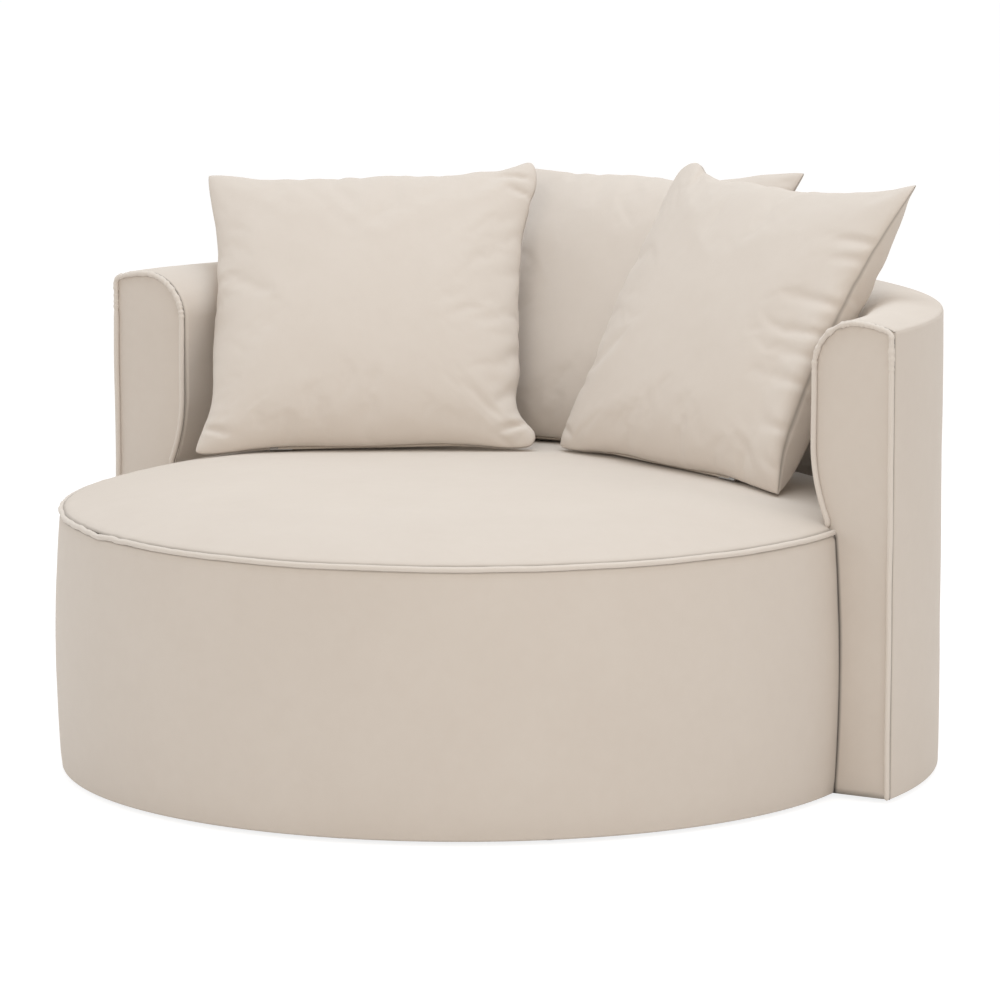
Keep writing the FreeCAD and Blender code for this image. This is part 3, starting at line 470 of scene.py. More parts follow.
# Section of the C-shaped wall, as points of radius and height
def crease_angle(inset):
    return math.degrees(math.acos((WALL_OUTER - inset - SHOULDER_CENTRE) / (TOP_RADIUS - inset)))


def wall_rise(inset, low):
    """From low up the inner face, over the shoulder and the top to the outer crease."""
    foot, face = WALL_FOOT + inset, WALL_INNER + inset
    belly, top = BELLY_RADIUS - inset, TOP_RADIUS - inset
    level = BELLY_RADIUS + WALL_INNER - foot
    foot_z = BELLY_TOP_Z - math.sqrt(belly**2 - level**2)
    foot_angle = 180 + math.degrees(math.acos(level / belly))
    edge = crease_angle(inset)
    dense = edge + math.degrees(CREASE_ZONE / TOP_RADIUS)
    shoulder, crown = (SHOULDER_CENTRE, SHOULDER_Z), (SHOULDER_CENTRE, TOP_ARC_Z)
    runs = [
        straight((foot, low), (foot, foot_z), 12),
        arc((WALL_INNER + BELLY_RADIUS, BELLY_TOP_Z), belly, foot_angle, 180, 40),
        straight((face, BELLY_TOP_Z), (face, SHOULDER_Z), 30),
        arc(shoulder, SHOULDER_RADIUS - inset, 180, 90, 50),
        arc(crown, top, 90, dense, 24),
        arc(crown, top, dense, edge, 12),
        arc(crown, top, edge, edge, 1),
    ]
    return np.vstack(runs)


def crease_rounding(distance):
    """How far a cover lies inside its own surface where the crease at the wall's top is rounded."""
    half_turn = math.radians(crease_angle(0)) / 2
    short = np.clip(CREASE_ROUND * math.tan(half_turn) - distance, 0, CREASE_ROUND)
    return CREASE_ROUND - np.sqrt(CREASE_ROUND**2 - short**2)


def dense_ends(count):
    """Shares from 0 to 1 that lie closer together towards both ends."""
    share = np.linspace(0, 1, count)
    return 0.45 * share + 0.55 * (0.5 - 0.5 * np.cos(math.pi * share))


def swept_round(line, angle, centre_y=0):
    """A grid of a line of distances and heights, turned about an upright axis at centre_y."""
    radius, height, angle = np.broadcast_arrays(line[:, :1], line[:, 1:], angle)
    return np.stack([radius * np.cos(angle), centre_y + radius * np.sin(angle), height], 2)


def swept_c(section, front_y, count):
    """A grid of the section's points swept round the C, both ends cut at front_y."""
    start = np.arcsin((front_y - WALL_CENTRE_Y) / section[:, 0])[:, None]
    return swept_round(section, start + (math.pi - 2 * start) * dense_ends(count), WALL_CENTRE_Y)


def outward(grid, reference):
    """The grid's normals, turned to the side of the reference directions."""
    normals = grid_normals(grid)
    sign = np.sign(np.sum(normals * reference, axis=2).mean())
    return normals * sign


# Height of the crowned seat
FLAT_ARC = (SEAT_FLAT_RADIUS**2 + SEAT_FLAT_DROP**2) / (2 * SEAT_FLAT_DROP)
SEAT_TOP_Z = SEAT_RIM_Z + SEAT_CROWN
LEAN_OUT = SEAT_FLAT_RADIUS / FLAT_ARC
LEAN_UP = (FLAT_ARC - SEAT_FLAT_DROP) / FLAT_ARC
RIM_RUN = SEAT_RIM_RADIUS - SEAT_FLAT_RADIUS
RIM_FALL = SEAT_CROWN - SEAT_FLAT_DROP
RIM_ARC = (RIM_RUN**2 + RIM_FALL**2) / (2 * (RIM_FALL * LEAN_UP - RIM_RUN * LEAN_OUT))
RIM_ARC_X = SEAT_FLAT_RADIUS - RIM_ARC * LEAN_OUT
RIM_ARC_Z = SEAT_TOP_Z - SEAT_FLAT_DROP - RIM_ARC * LEAN_UP


def seat_height(radius):
    """Height of the crowned seat's surface at each distance from the axis."""
    radius = np.asarray(radius, dtype=float)
    flat = SEAT_TOP_Z - FLAT_ARC + np.sqrt(FLAT_ARC**2 - radius**2)
    side = RIM_ARC_Z + np.sqrt(np.maximum(RIM_ARC**2 - (radius - RIM_ARC_X) ** 2, 1e-9))
    return np.where(radius > SEAT_FLAT_RADIUS, side, flat)


# Seat cover, piping and band
def loose_part(angle):
    """1 where the cord round the seat lies loose, at the left of the front, and 0 elsewhere."""
    degrees = np.degrees(angle)
    return ramp(198, 212, degrees) * (1 - ramp(240, 268, degrees))


def seam_sway(angle):
    """How far the seam round the seat leaves its level."""
    angle = np.where(angle < 1, angle + 2 * math.pi, angle)
    left = loose_part(angle)
    even = 0.0009 * wave(angle, 7.0, 2.0) + 0.0004 * wave(angle, 28.0, 6.0)
    return even + left * (0.0034 * wave(angle, 13.0, 3.0) + 0.0016 * wave(angle, 34.0, 5.0))


def drum_angles(count):
    """Angles of the drum's open front, from the left arm round to the right arm."""
    over = math.asin((ARM_FRONT_Y - 0.0005) / DRUM_RADIUS)
    return math.pi - over + dense_ends(count) * (math.pi + 2 * over)


def drum_reach(height):
    """Distance of the drum's side from the axis at each height."""
    return DRUM_RADIUS - DRUM_BELLY_ARC + np.sqrt(DRUM_BELLY_ARC**2 - (height - DRUM_BELLY_Z) ** 2)


def turned_hem(reach):
    """Section of the hem under a cover whose side starts at this distance, with its bend."""
    bend = arc((reach - HEM_BEND, FLOOR_GAP + HEM_BEND), HEM_BEND, -90, 0, 8)
    return np.vstack([straight((reach - HEM, FLOOR_GAP), bend[0], 8), bend])


def seat_top():
    rings, spokes = 110, 420
    angle = np.linspace(0, 2 * math.pi, spokes, endpoint=False)
    front = SEAT_RIM_RADIUS - SEAT_EDGE_GAP
    rear_sin = np.sin(angle) * WALL_CENTRE_Y
    rear = rear_sin + np.sqrt(rear_sin**2 - WALL_CENTRE_Y**2 + SEAT_REAR_RADIUS**2)
    enclosed = ramp(*ARM_REACH_Y, front * np.sin(angle))
    reach = front * (1 - enclosed) + np.minimum(rear, front) * enclosed
    radius = (np.linspace(0, 1, rings) ** 0.85)[:, None] * reach
    x, y = radius * np.cos(angle), radius * np.sin(angle)
    outer = np.stack([x, y, seat_height(radius)], 2)
    inside = reach - radius
    around = np.broadcast_to(angle * SEAT_RIM_RADIUS, radius.shape)
    left = ramp(0.25, 0.6, -x) * ramp(-0.45, -0.1, y)
    strength = 0.0006 + 0.001 * left + 0.0006 * np.abs(wave(angle, 2.2, 9.0))
    depth = 0.02 + 0.014 * wave(angle, 6.0, 4.0)
    lift = PROUD + 0.0008 + uneven_by(outer, SEAT_UNEVEN) * ramp(0, SEAM_ZONE, inside)
    lift += strength * gathered(around, 38.0, 5.0, inside, depth)
    lift = np.maximum(lift - dip(0.0042, 0.0075, inside), -RECESS)
    outer[:, :, 2] += lift + np.maximum(seam_sway(angle), 0) * (1 - ramp(0, SEAM_ZONE, inside))
    obj = skin("seat_top_fabric", outer, outer - (0, 0, FABRIC), wrap=True)
    # Painted shade along the seam round the seat's rim
    shade_fabric(obj, lambda p: seam_shade(SEAT_RIM_RADIUS - 0.003 - np.hypot(p[:, 0], p[:, 1])))
    return obj


def seat_piping():
    angle = drum_angles(1000)
    left = loose_part(angle)
    radius = SEAT_RIM_RADIUS + 0.0012 + 0.0008 * wave(angle, 9.0, 8.0)
    radius += left * 0.001 * wave(angle, 16.0, 12.0)
    z = SEAT_RIM_Z - 0.0042 + seam_sway(angle)
    path = np.stack([radius * np.cos(angle), radius * np.sin(angle), z], 1)
    radii = round_ends(len(path), PIPING_RADIUS - 0.0001)
    radii *= 1 + (0.03 + 0.1 * left) * wave(angle * SEAT_RIM_RADIUS, 70.0, 3.0)
    return tube("seat_piping_cord", path, radii)


def seat_band():
    angle = drum_angles(660)
    heights = np.linspace(FLOOR_GAP + HEM_BEND, BAND_TOP_Z, 90)
    side = np.stack([drum_reach(heights), heights], 1)
    section = np.vstack([turned_hem(side[0, 0]), side])
    outer, normals = swept_round(section, angle), swept_round(line_normals(section), angle)
    height = outer[:, :, 2]
    around = np.broadcast_to(angle * DRUM_RADIUS, height.shape)
    below = BAND_TOP_Z - height
    upright = ramp(*HEM_FADE, height)
    left = ramp(0.2, 0.6, -outer[:, :, 0]) * ramp(-0.5, 0.0, outer[:, :, 1])
    strength = (0.0006 + 0.002 * left) * ramp(0.0, 0.004, below)
    depth = 0.026 + 0.02 * wave(angle, 5.0, 7.0)
    uneven = uneven_by(outer, BAND_UNEVEN) * ramp(0, SEAM_ZONE, below)
    lift = (PROUD + 0.0002 + uneven) * upright - dip(0.0036, 0.009, below)
    lift += strength * gathered(around, 30.0, 1.0, below, depth)
    outer = outer + normals * np.maximum(lift, -RECESS)[:, :, None]
    inner = outer - normals * FABRIC
    tuck = (0.0018 + np.minimum(seam_sway(angle), 0)) * (1 - ramp(0, SEAM_ZONE, below))
    for face in (outer, inner):
        face[:, :, 2] += tuck
    obj = skin("seat_band_fabric", outer, inner)

    # Painted shade below the band's top seam and in the joint at each arm
    def shade(p):
        top = seam_shade(BAND_TOP_Z + 0.001 - p[:, 2])
        return np.maximum(top, joint_shade(ARM_FRONT_Y - p[:, 1]))

    shade_fabric(obj, shade)
    return obj


# Wall covers, arm facings and arm piping
def wall_skin(name, outer, normals, lift):
    """A cover of the wall, lifted along its normals, with painted shade beside the arms' seams."""
    outer = outer + normals * np.maximum(lift, -RECESS)[:, :, None]
    obj = skin(name, outer, outer - normals * FABRIC)
    # Painted shade beside the seams at the arms' fronts
    shade_fabric(obj, lambda p: seam_shade(p[:, 1] - ARM_FRONT_Y))
    return obj


def wall_inner_cover():
    section = wall_rise(0, 0.4)
    outer = swept_c(section, ARM_FRONT_Y, WALL_COLUMNS)
    normals = outward(outer, (0, WALL_CENTRE_Y, 1) - outer)
    behind = outer[:, :, 1] - ARM_FRONT_Y
    along = run_lengths(section)[:, None]
    from_crease = along[-1] - along
    sides = np.where(outer[:, :, 0] > 0, 31.0, 57.0)
    curved = ramp(0.66, 0.72, outer[:, :, 2])
    depth = 0.016 + 0.01 * wave(along, 20.0, 14.0)
    uneven = uneven_by(outer, INNER_UNEVEN) * ramp(0.0, CREASE_CALM, from_crease)
    lift = PROUD + uneven * ramp(0.05, 0.2, np.sqrt(np.maximum(behind, 0)))
    lift += (0.0004 + 0.0009 * curved) * gathered(along + sides, 62.0, 0.5, behind, depth)
    lift = lift - dip(0.003, 0.008, behind) - crease_rounding(from_crease)
    return wall_skin("wall_inner_fabric", outer, normals, lift)


def wall_outer_cover():
    crease_z = TOP_ARC_Z + TOP_RADIUS * math.sin(math.radians(crease_angle(0)))
    stations = (FLOOR_GAP + HEM_BEND, crease_z - CREASE_ZONE, crease_z)
    low, dense, top = [(WALL_OUTER, z) for z in stations]
    runs = [turned_hem(WALL_OUTER), straight(low, dense, 80), straight(dense, top, 12), [top]]
    outer = swept_c(np.vstack(runs), ARM_FRONT_Y + FABRIC, WALL_COLUMNS)
    normals = outward(outer, (outer - (0, WALL_CENTRE_Y, 0)) * (1, 1, 0))
    behind = outer[:, :, 1] - ARM_FRONT_Y
    below = crease_z - outer[:, :, 2]
    uneven = uneven_by(outer, OUTER_UNEVEN) * ramp(0.0, CREASE_CALM, below)
    lift = ramp(*HEM_FADE, outer[:, :, 2]) * (PROUD + uneven)
    lift = lift * ramp(0.0, 0.05, np.sqrt(np.maximum(behind, 0)))
    lift = lift - crease_rounding(below) - dip(0.0018, 0.007, behind)
    return wall_skin("wall_outer_fabric", outer, normals, lift)


def side_name(side):
    return "right" if side > 0 else "left"


def curved_part(height):
    """1 at the curved top of an arm's front, where the fabric is drawn in, and 0 below it."""
    return ramp(0.64, 0.7, height)


def facing_puckers(reach, height, side):
    """Small puckers round the curved top of an arm's front."""
    angle = np.arctan2(height - 0.6, reach - 0.68)
    return wave(angle * 0.12, 140.0, 61 + side)


def arm_facing(side):
    """The flat panel of an arm's front: columns from the inner to the outer edge, rows upward."""
    columns, rows = 64, 200
    rise = wall_rise(FABRIC, FLOOR_GAP)
    foot = [[WALL_OUTER - FABRIC, FLOOR_GAP]]
    outline = resample(np.vstack([rise, foot]), 900, closed=True)
    crown = resample(rise[rise[:, 1] >= SHOULDER_Z], columns)
    across = np.linspace(0, 1, columns)[:, None]
    up = np.linspace(0, 1, rows)[None, :] ** 0.8
    height = FLOOR_GAP + up * (crown[:, 1][:, None] - FLOOR_GAP)
    below = rise[:, 1] <= SHOULDER_Z
    inner_edge = np.interp(height, rise[below, 1], rise[below, 0])
    level = inner_edge + across * (WALL_OUTER - FABRIC - inner_edge)
    reach = level + (crown[:, 0][:, None] - level) * up**4
    gap = nearest(outline, np.stack([reach, height], 2).reshape(-1, 2)).reshape(reach.shape)
    front = np.stack([side * reach, np.full(gap.shape, ARM_FRONT_Y), height], 2)
    back = front + (0, FABRIC, 0)
    puckers = facing_puckers(reach, height, side) * np.exp(-((gap / 0.014) ** 2))
    soft = 0.003 * ramp(0, 0.05, gap) + (PROUD + 0.001) * ramp(0, 0.004, gap)
    soft += ramp(0, 0.02, gap) * 0.001 * rough(front, 7.0, 30 + side)
    soft += puckers * (0.0003 + 0.0016 * curved_part(height)) * ramp(0.0, 0.004, gap)
    soft -= 0.0012 * (1 - ramp(0.002, 0.01, gap))
    front[:, :, 1] -= soft
    obj = skin(f"{side_name(side)}_arm_facing_fabric", front, back)

    # Painted shade along the piping's seam, darker at the puckers round the curved top, and in the joint
    # beside the drum
    def shade(p):
        reach, height = np.abs(p[:, 0]), p[:, 2]
        edge = seam_shade(nearest(outline, np.stack([reach, height], 1)))
        # The puckers' notches get more painted shade
        drawn = np.maximum(0.35 + 2.8 * facing_puckers(reach, height, side), -0.8)
        edge *= 1 + curved_part(height) * drawn
        beside = np.abs(reach - np.sqrt(drum_reach(height) ** 2 - ARM_FRONT_Y**2))
        low = 1 - ramp(BAND_TOP_Z - 0.004, BAND_TOP_Z + 0.006, height)
        return np.maximum(edge, joint_shade(beside) * low)

    shade_fabric(obj, shade)
    return obj


def arm_piping(side):
    """The cord round an arm's front, from the seat up over the top and down the outer edge."""
    r = PIPING_RADIUS
    rise = wall_rise(r, 0.4)
    rise = rise[rise[:, 1] > float(seat_height(WALL_FOOT)) - 0.8 * r]
    edge = WALL_OUTER - r
    bend = PIPING_BEND * r
    reach = TOP_RADIUS - r - bend
    centre = (edge - bend, TOP_ARC_Z + math.sqrt(reach**2 - (edge - bend - SHOULDER_CENTRE) ** 2))
    slope = math.degrees(math.atan2(centre[1] - TOP_ARC_Z, centre[0] - SHOULDER_CENTRE))
    crown_end = centre[0] + bend * math.cos(math.radians(slope))
    keep = (rise[:, 1] < SHOULDER_Z) | (rise[:, 0] < crown_end)
    turn = arc(centre, bend, slope, 0, 10)
    down = straight((edge, centre[1]), (edge, FLOOR_GAP), 60)
    line = resample(np.vstack([rise[keep], turn, down, [[edge, FLOOR_GAP]]]), 620)
    length = np.linspace(0, 1.6, len(line))
    sway = 0.0007 * wave(length, 9.0, 40 + side) + 0.0014 * wave(length, 5.0, 50 + side)
    line = line - line_normals(line) * sway[:, None]
    y = np.full(len(line), ARM_FRONT_Y - r + 0.0002)
    path = np.stack([side * line[:, 0], y, line[:, 1]], 1)
    tight = ramp(0.66, 0.7, line[:, 1])
    radii = round_ends(len(path), r)
    radii *= 1 + 0.02 * wave(length, 60.0, 3.0) + 0.38 * tight * wave(length, 150.0, 44 + side)
    return tube(f"{side_name(side)}_arm_piping_cord", path, radii)


# Loose cushions
def cushion_matrix(place):
    """Where a cushion's own frame lies: x across, y up its face and z out of its front."""
    turn, lean = math.radians(place["turn"]), math.radians(place["lean"])
    half_x, half_y = CUSHION_WIDTH / 2 * math.cos(turn), CUSHION_WIDTH / 2 * math.sin(turn)
    reaches = [math.hypot(place["x"] + s * half_x, place["y"] + s * half_y) for s in (-1, 1)]
    left, right = (float(seat_height(reach)) for reach in reaches)
    roll = math.asin((right - left) / CUSHION_WIDTH)
    level = np.array([math.cos(turn), math.sin(turn), 0])
    across = level * math.cos(roll) + (0, 0, math.sin(roll))
    out = np.array([math.sin(turn), -math.cos(turn), 0])
    rise = np.array([0, 0, math.cos(lean)]) - out * math.sin(lean)
    rise = rise - across * np.dot(across, rise)
    rise /= np.linalg.norm(rise)
    facing = np.cross(across, rise)
    lift = CUSHION_REST + CUSHION_RIM / 2 * abs(facing[2])
    foot = np.array([place["x"], place["y"], (left + right) / 2 + lift])
    return np.stack([across, rise, facing], 1), foot + rise * (CUSHION_HEIGHT / 2)


def curve(points, at):
    """A smooth curve through points of station and value."""
    station, value = np.array(points, dtype=float).T
    slope = np.gradient(value, station)
    k = np.clip(np.searchsorted(station, at, side="right") - 1, 0, len(station) - 2)
    width = station[k + 1] - station[k]
    t = (at - station[k]) / width
    first = value[k] * (1 + 2 * t) + slope[k] * width * t
    second = value[k + 1] * (3 - 2 * t) + slope[k + 1] * width * (t - 1)
    return first * (1 - t) ** 2 + second * t**2


def pillow_face(share_x, share_y, thickness, name):
    """Points of a cushion's front at shares of its half width and half height."""
    sides = SIDES[name]
    right = np.maximum(share_x, 0) ** 3 * curve(sides["right"], share_y)
    left = np.maximum(-share_x, 0) ** 3 * curve(sides["left"], share_y)
    top = np.maximum(share_y, 0) ** 3 * curve(sides["top"], share_x)
    bottom = np.maximum(-share_y, 0) ** 3 * curve(sides["bottom"], share_x)
    corner = 2 * (share_y > 0) + (share_x > 0)
    blunt = np.array(BLUNT[name])[corner] * np.abs(share_x * share_y) ** 12
    x = share_x * CUSHION_WIDTH / 2 + right - left - np.sign(share_x) * blunt
    y = share_y * CUSHION_HEIGHT / 2 + top - bottom - np.sign(share_y) * blunt
    across = (1 - np.abs(share_x) ** 2.4) ** FULLNESS
    along = (1 - np.abs(share_y) ** 2.4) ** FULLNESS
    z = thickness / 2 * across * along * (1 - 0.08 * share_y)
    return np.stack([x, y, z], -1)


def crease_depth(points, creases):
    """How deep the creases are at each point of a cushion's front, with a soft lip on both sides."""
    depth = np.zeros(points.shape[:2])
    half = np.array([CUSHION_WIDTH / 2, CUSHION_HEIGHT / 2])
    for x0, y0, x1, y1, deep, width in creases:
        start, end = np.array([x0, y0]) * half, np.array([x1, y1]) * half
        run = end - start
        length = np.linalg.norm(run)
        away = points[:, :, :2] - start
        along = away @ run / length
        aside = (away[:, :, 0] * run[1] - away[:, :, 1] * run[0]) / length
        spread = width * (0.7 + 0.9 * np.clip(along / length, 0, 1))
        fade = ramp(-0.012, 0.004, along) * (1 - ramp(0.2 * length, length, along))
        ratio = (aside / spread) ** 2
        depth += deep * fade * (np.exp(-ratio) - 0.45 * np.exp(-ratio / 4))
    return depth


def pillow(label, name, thickness, cells, creases=()):
    """A closed cushion of two faces that share their seam. The seam has a vertex group."""
    share = np.linspace(-1, 1, cells + 1)
    share = np.sign(share) * (1 - (1 - np.abs(share)) ** 1.15)
    share_x, share_y = np.meshgrid(share, share, indexing="ij")
    front = pillow_face(share_x, share_y, thickness, name)
    back = front * (1, 1, -1)
    front[:, :, 2] -= crease_depth(front, creases) * np.minimum(1, front[:, :, 2] / 0.012)
    forward = curve(SEAM_FORWARD.get(name, ((-1, 0), (1, 0))), share_y)
    beside = ramp(0.9, 1.0, share_x)
    fuller = BACK_FULLNESS.get(name, 0) * ramp(0.6, 0.85, share_x) * (1 - share_y**8)
    front[:, :, 2] += forward * ramp(0.72, 1.0, share_x)
    back[:, :, 2] += forward * beside - fuller * (1 - beside)
    zone = 1 - ramp(ZIP_LENGTH / 2 - 0.002, ZIP_LENGTH / 2 + 0.014, np.abs(front[:, 0, 0]))
    low_y = front[:, 0, 1].copy()
    for face, side in ((front, 1), (back, -1)):
        face[:, 0, 1] = low_y + zone * ZIP_GROOVE
        face[:, 1, 1] += zone * (low_y - face[:, 1, 1])
        face[:, 1, 2] += zone * (side * CUSHION_RIM * 0.6 - face[:, 1, 2])
    number = np.arange((cells + 1) ** 2).reshape(cells + 1, cells + 1)
    inner = number[1:-1, 1:-1]
    back_number = number.copy()
    back_number[1:-1, 1:-1] = number.size + np.arange(inner.size).reshape(inner.shape)
    vertices = np.vstack([front.reshape(-1, 3), back[1:-1, 1:-1].reshape(-1, 3)])
    faces = []
    for i in range(cells):
        for j in range(cells):
            corners = ((i, j), (i + 1, j), (i + 1, j + 1), (i, j + 1))
            faces.append(tuple(int(number[c]) for c in corners))
            faces.append(tuple(int(back_number[c]) for c in corners[::-1]))
    obj = new_object(label, vertices, faces)
    seam = obj.vertex_groups.new(name="seam")
    border = np.concatenate([number[0], number[-1], number[:, 0], number[:, -1]])
    seam.add(np.unique(border).tolist(), 1.0, "REPLACE")
    return obj


def smoothed(values, mesh, rounds):
    """Vectors averaged over a mesh's neighbours a number of times."""
    edges = np.array([tuple(e.vertices) for e in mesh.edges])
    degree = np.bincount(edges.ravel(), minlength=len(values))
    for _ in range(rounds):
        total = np.zeros_like(values)
        np.add.at(total, edges[:, 0], values[edges[:, 1]])
        np.add.at(total, edges[:, 1], values[edges[:, 0]])
        values = (values + total / degree[:, None]) / 2
    return values


def simulated_wrinkles(obj, seed):
    """How each point moves when the cover, cut a little too large, is blown up by its filling."""
    rest = coordinates(obj.data)
    work = obj.copy()
    work.data = obj.data.copy()
    link(work)
    set_coordinates(work.data, rest + rough(rest, 14.0, seed)[:, None] * (0, 0, 0.002))
    cloth = work.modifiers.new("Cloth", "CLOTH")
    for key, value in CLOTH_SETTINGS.items():
        setattr(cloth.settings, key, value)
    cloth.settings.effector_weights.gravity = 0
    cloth.collision_settings.use_collision = False
    cloth.point_cache.frame_start = 1
    cloth.point_cache.frame_end = CLOTH_FRAMES
    scene = bpy.context.scene
    for number in range(1, CLOTH_FRAMES + 1):
        scene.frame_set(number)
    moved = coordinates(evaluated(work).data) - rest
    bpy.data.objects.remove(work)
    scene.frame_set(1)
    return moved - smoothed(moved, obj.data, WRINKLE_ROUNDS)


def soft_limit(distance, softness=0.003):
    """The distance where it is positive and nearly 0 where it is negative, without a kink."""
    return 0.5 * (distance + np.sqrt(distance**2 + softness**2))


def on_seat(values):
    """Presses the points that would sink into the seat flat on its fabric."""
    level = seat_height(np.hypot(values[:, 0], values[:, 1])) + SEAT_SKIN
    values[:, 2] = level + soft_limit(values[:, 2] - level)
    return values


def wall_reach(height):
    """Distance from the wall's centre to its inner face at each height."""
    belly = BELLY_RADIUS**2 - np.clip(BELLY_TOP_Z - height, 0, BELLY_RADIUS) ** 2
    lower = np.minimum(WALL_FOOT, WALL_INNER + BELLY_RADIUS - np.sqrt(belly))
    over = np.clip(height - SHOULDER_Z, 0, SHOULDER_RADIUS)
    upper = SHOULDER_CENTRE - np.sqrt(SHOULDER_RADIUS**2 - over**2)
    free = ramp(WALL_TOP_Z - 0.01, WALL_TOP_Z + 0.03, height) * 0.3
    return np.where(height < BELLY_TOP_Z, lower, upper) + free


def on_wall(values):
    """Presses the points that would sink into the wall flat on its fabric."""
    radius = np.hypot(values[:, 0], values[:, 1] - WALL_CENTRE_Y)
    reach = wall_reach(values[:, 2]) - WALL_SKIN
    share = (reach - soft_limit(reach - radius)) / radius
    values[:, 0] *= share
    values[:, 1] = WALL_CENTRE_Y + (values[:, 1] - WALL_CENTRE_Y) * share
    return values


def clear_of(values, neighbour):
    """Pushes the points that lie inside another cushion out to its surface."""
    tree = BVHTree.FromObject(neighbour, bpy.context.evaluated_depsgraph_get())
    for k, value in enumerate(values):
        place, normal = tree.find_nearest(Vector(value), CUSHION_NEAR)[:2]
        if place is not None and (Vector(value) - place).dot(normal) < CUSHION_CLEAR:
            values[k] = place + normal * CUSHION_CLEAR
    return values


def apply_modifiers(obj):
    """Bakes an object's modifiers into its mesh and keeps its vertex groups."""
    mesh = bpy.data.meshes.new_from_object(
        evaluated(obj),
        preserve_all_data_layers=True,
        depsgraph=bpy.context.evaluated_depsgraph_get(),
    )
    obj.modifiers.clear()
    old = obj.data
    obj.data = mesh
    bpy.data.meshes.remove(old)


def finish_cushion(obj):
    """One subdivision, then the seam is drawn in to a narrow groove."""
    subdivide = obj.modifiers.new("Subdivide", "SUBSURF")
    subdivide.levels = subdivide.render_levels = 1
    apply_modifiers(obj)
    # The seam is the mesh's only vertex group
    weight = np.array([sum(g.weight for g in v.groups) for v in obj.data.vertices])
    normals = np.array([tuple(v.normal) for v in obj.data.vertices])
    drawn = ramp(0.6, 1.0, weight) * SEAM_DRAWN
    set_coordinates(obj.data, coordinates(obj.data) - normals * drawn[:, None])
    # Painted shade along the seam's groove
    shade_fabric(obj, lambda p: ramp(0.4, 1.0, weight))


def cushion(name, neighbours):
    place = CUSHIONS[name]
    obj = pillow(name + "_cover", name, COVER_THICKNESS, COVER_CELLS, CREASES[name])
    rest = coordinates(obj.data)
    moved = simulated_wrinkles(obj, place["seed"])
    length = np.linalg.norm(moved, axis=1, keepdims=True)
    moved *= place["slack"] * np.minimum(1, WRINKLE_CAP / np.maximum(length, 1e-9))
    normals = np.array([tuple(v.normal) for v in obj.data.vertices])
    near_zip = ramp(0.02, 0.06, rest[:, 1] + CUSHION_HEIGHT / 2) + ramp(
        ZIP_LENGTH / 2, ZIP_LENGTH / 2 + 0.05, np.abs(rest[:, 0])
    )
    moved *= np.minimum(1, near_zip)[:, None]
    soft = 0.0022 * rough(rest, 6.0, place["seed"] + 1)
    values = rest + moved + normals * soft[:, None]
    axes, centre = cushion_matrix(place)
    values = on_wall(on_seat(values @ axes.T + centre))
    for neighbour in neighbours:
        values = clear_of(values, neighbour)
    set_coordinates(obj.data, values)
    finish_cushion(obj)
    return obj


def cushion_fill(name):
    """The fibre bag inside a cover."""
    place = CUSHIONS[name]
    obj = pillow(name + "_inner_bag", name, COVER_THICKNESS - BAG_INSET, BAG_CELLS)
    axes, centre = cushion_matrix(place)
    values = coordinates(obj.data) * BAG_SHARE
    set_coordinates(obj.data, values @ axes.T + centre)
    return obj


# Materials
def material(name):
    made = bpy.data.materials.new(name)
    made.use_nodes = True
    nodes = made.node_tree.nodes
    return made, nodes, nodes["Principled BSDF"]


def set_inputs(made, inputs):
    """Gives a node's inputs values, or links them to other nodes' outputs."""
    for key, value in inputs.items():
        socket = made.inputs[key]
        if isinstance(value, bpy.types.NodeSocket):
            made.id_data.links.new(value, socket)
        else:
            socket.default_value = (*value, 1) if socket.type == "RGBA" else value


def node(nodes, kind, inputs={}, **settings):
    made = nodes.new(kind)
    for key, value in settings.items():
        setattr(made, key, value)
    set_inputs(made, inputs)
    return made


def noise_node(nodes, place, scale, detail, roughness=0.5):
    inputs = {"Vector": place, "Scale": scale, "Detail": detail, "Roughness": roughness}
    return node(nodes, "ShaderNodeTexNoise", inputs).outputs["Fac"]


def scaled(nodes, value, factor, plus):
    """value x factor + plus, where plus is a number or another node's output."""
    inputs = {0: value, 1: factor, 2: plus}
    return node(nodes, "ShaderNodeMath", inputs, operation="MULTIPLY_ADD").outputs[0]


def mixed(nodes, factor, first, second):
    """A colour between two, each a colour or another node's output."""
    inputs = {"Factor": factor, "A": first, "B": second}
    return node(nodes, "ShaderNodeMix", inputs, data_type="RGBA").outputs["Result"]


def bump(nodes, height, strength, distance, over=None):
    """Relief from a height, over another relief if there is one."""
    inputs = {"Height": height, "Strength": strength, "Distance": distance}
    if over is not None:
        inputs["Normal"] = over
    return node(nodes, "ShaderNodeBump", inputs).outputs["Normal"]


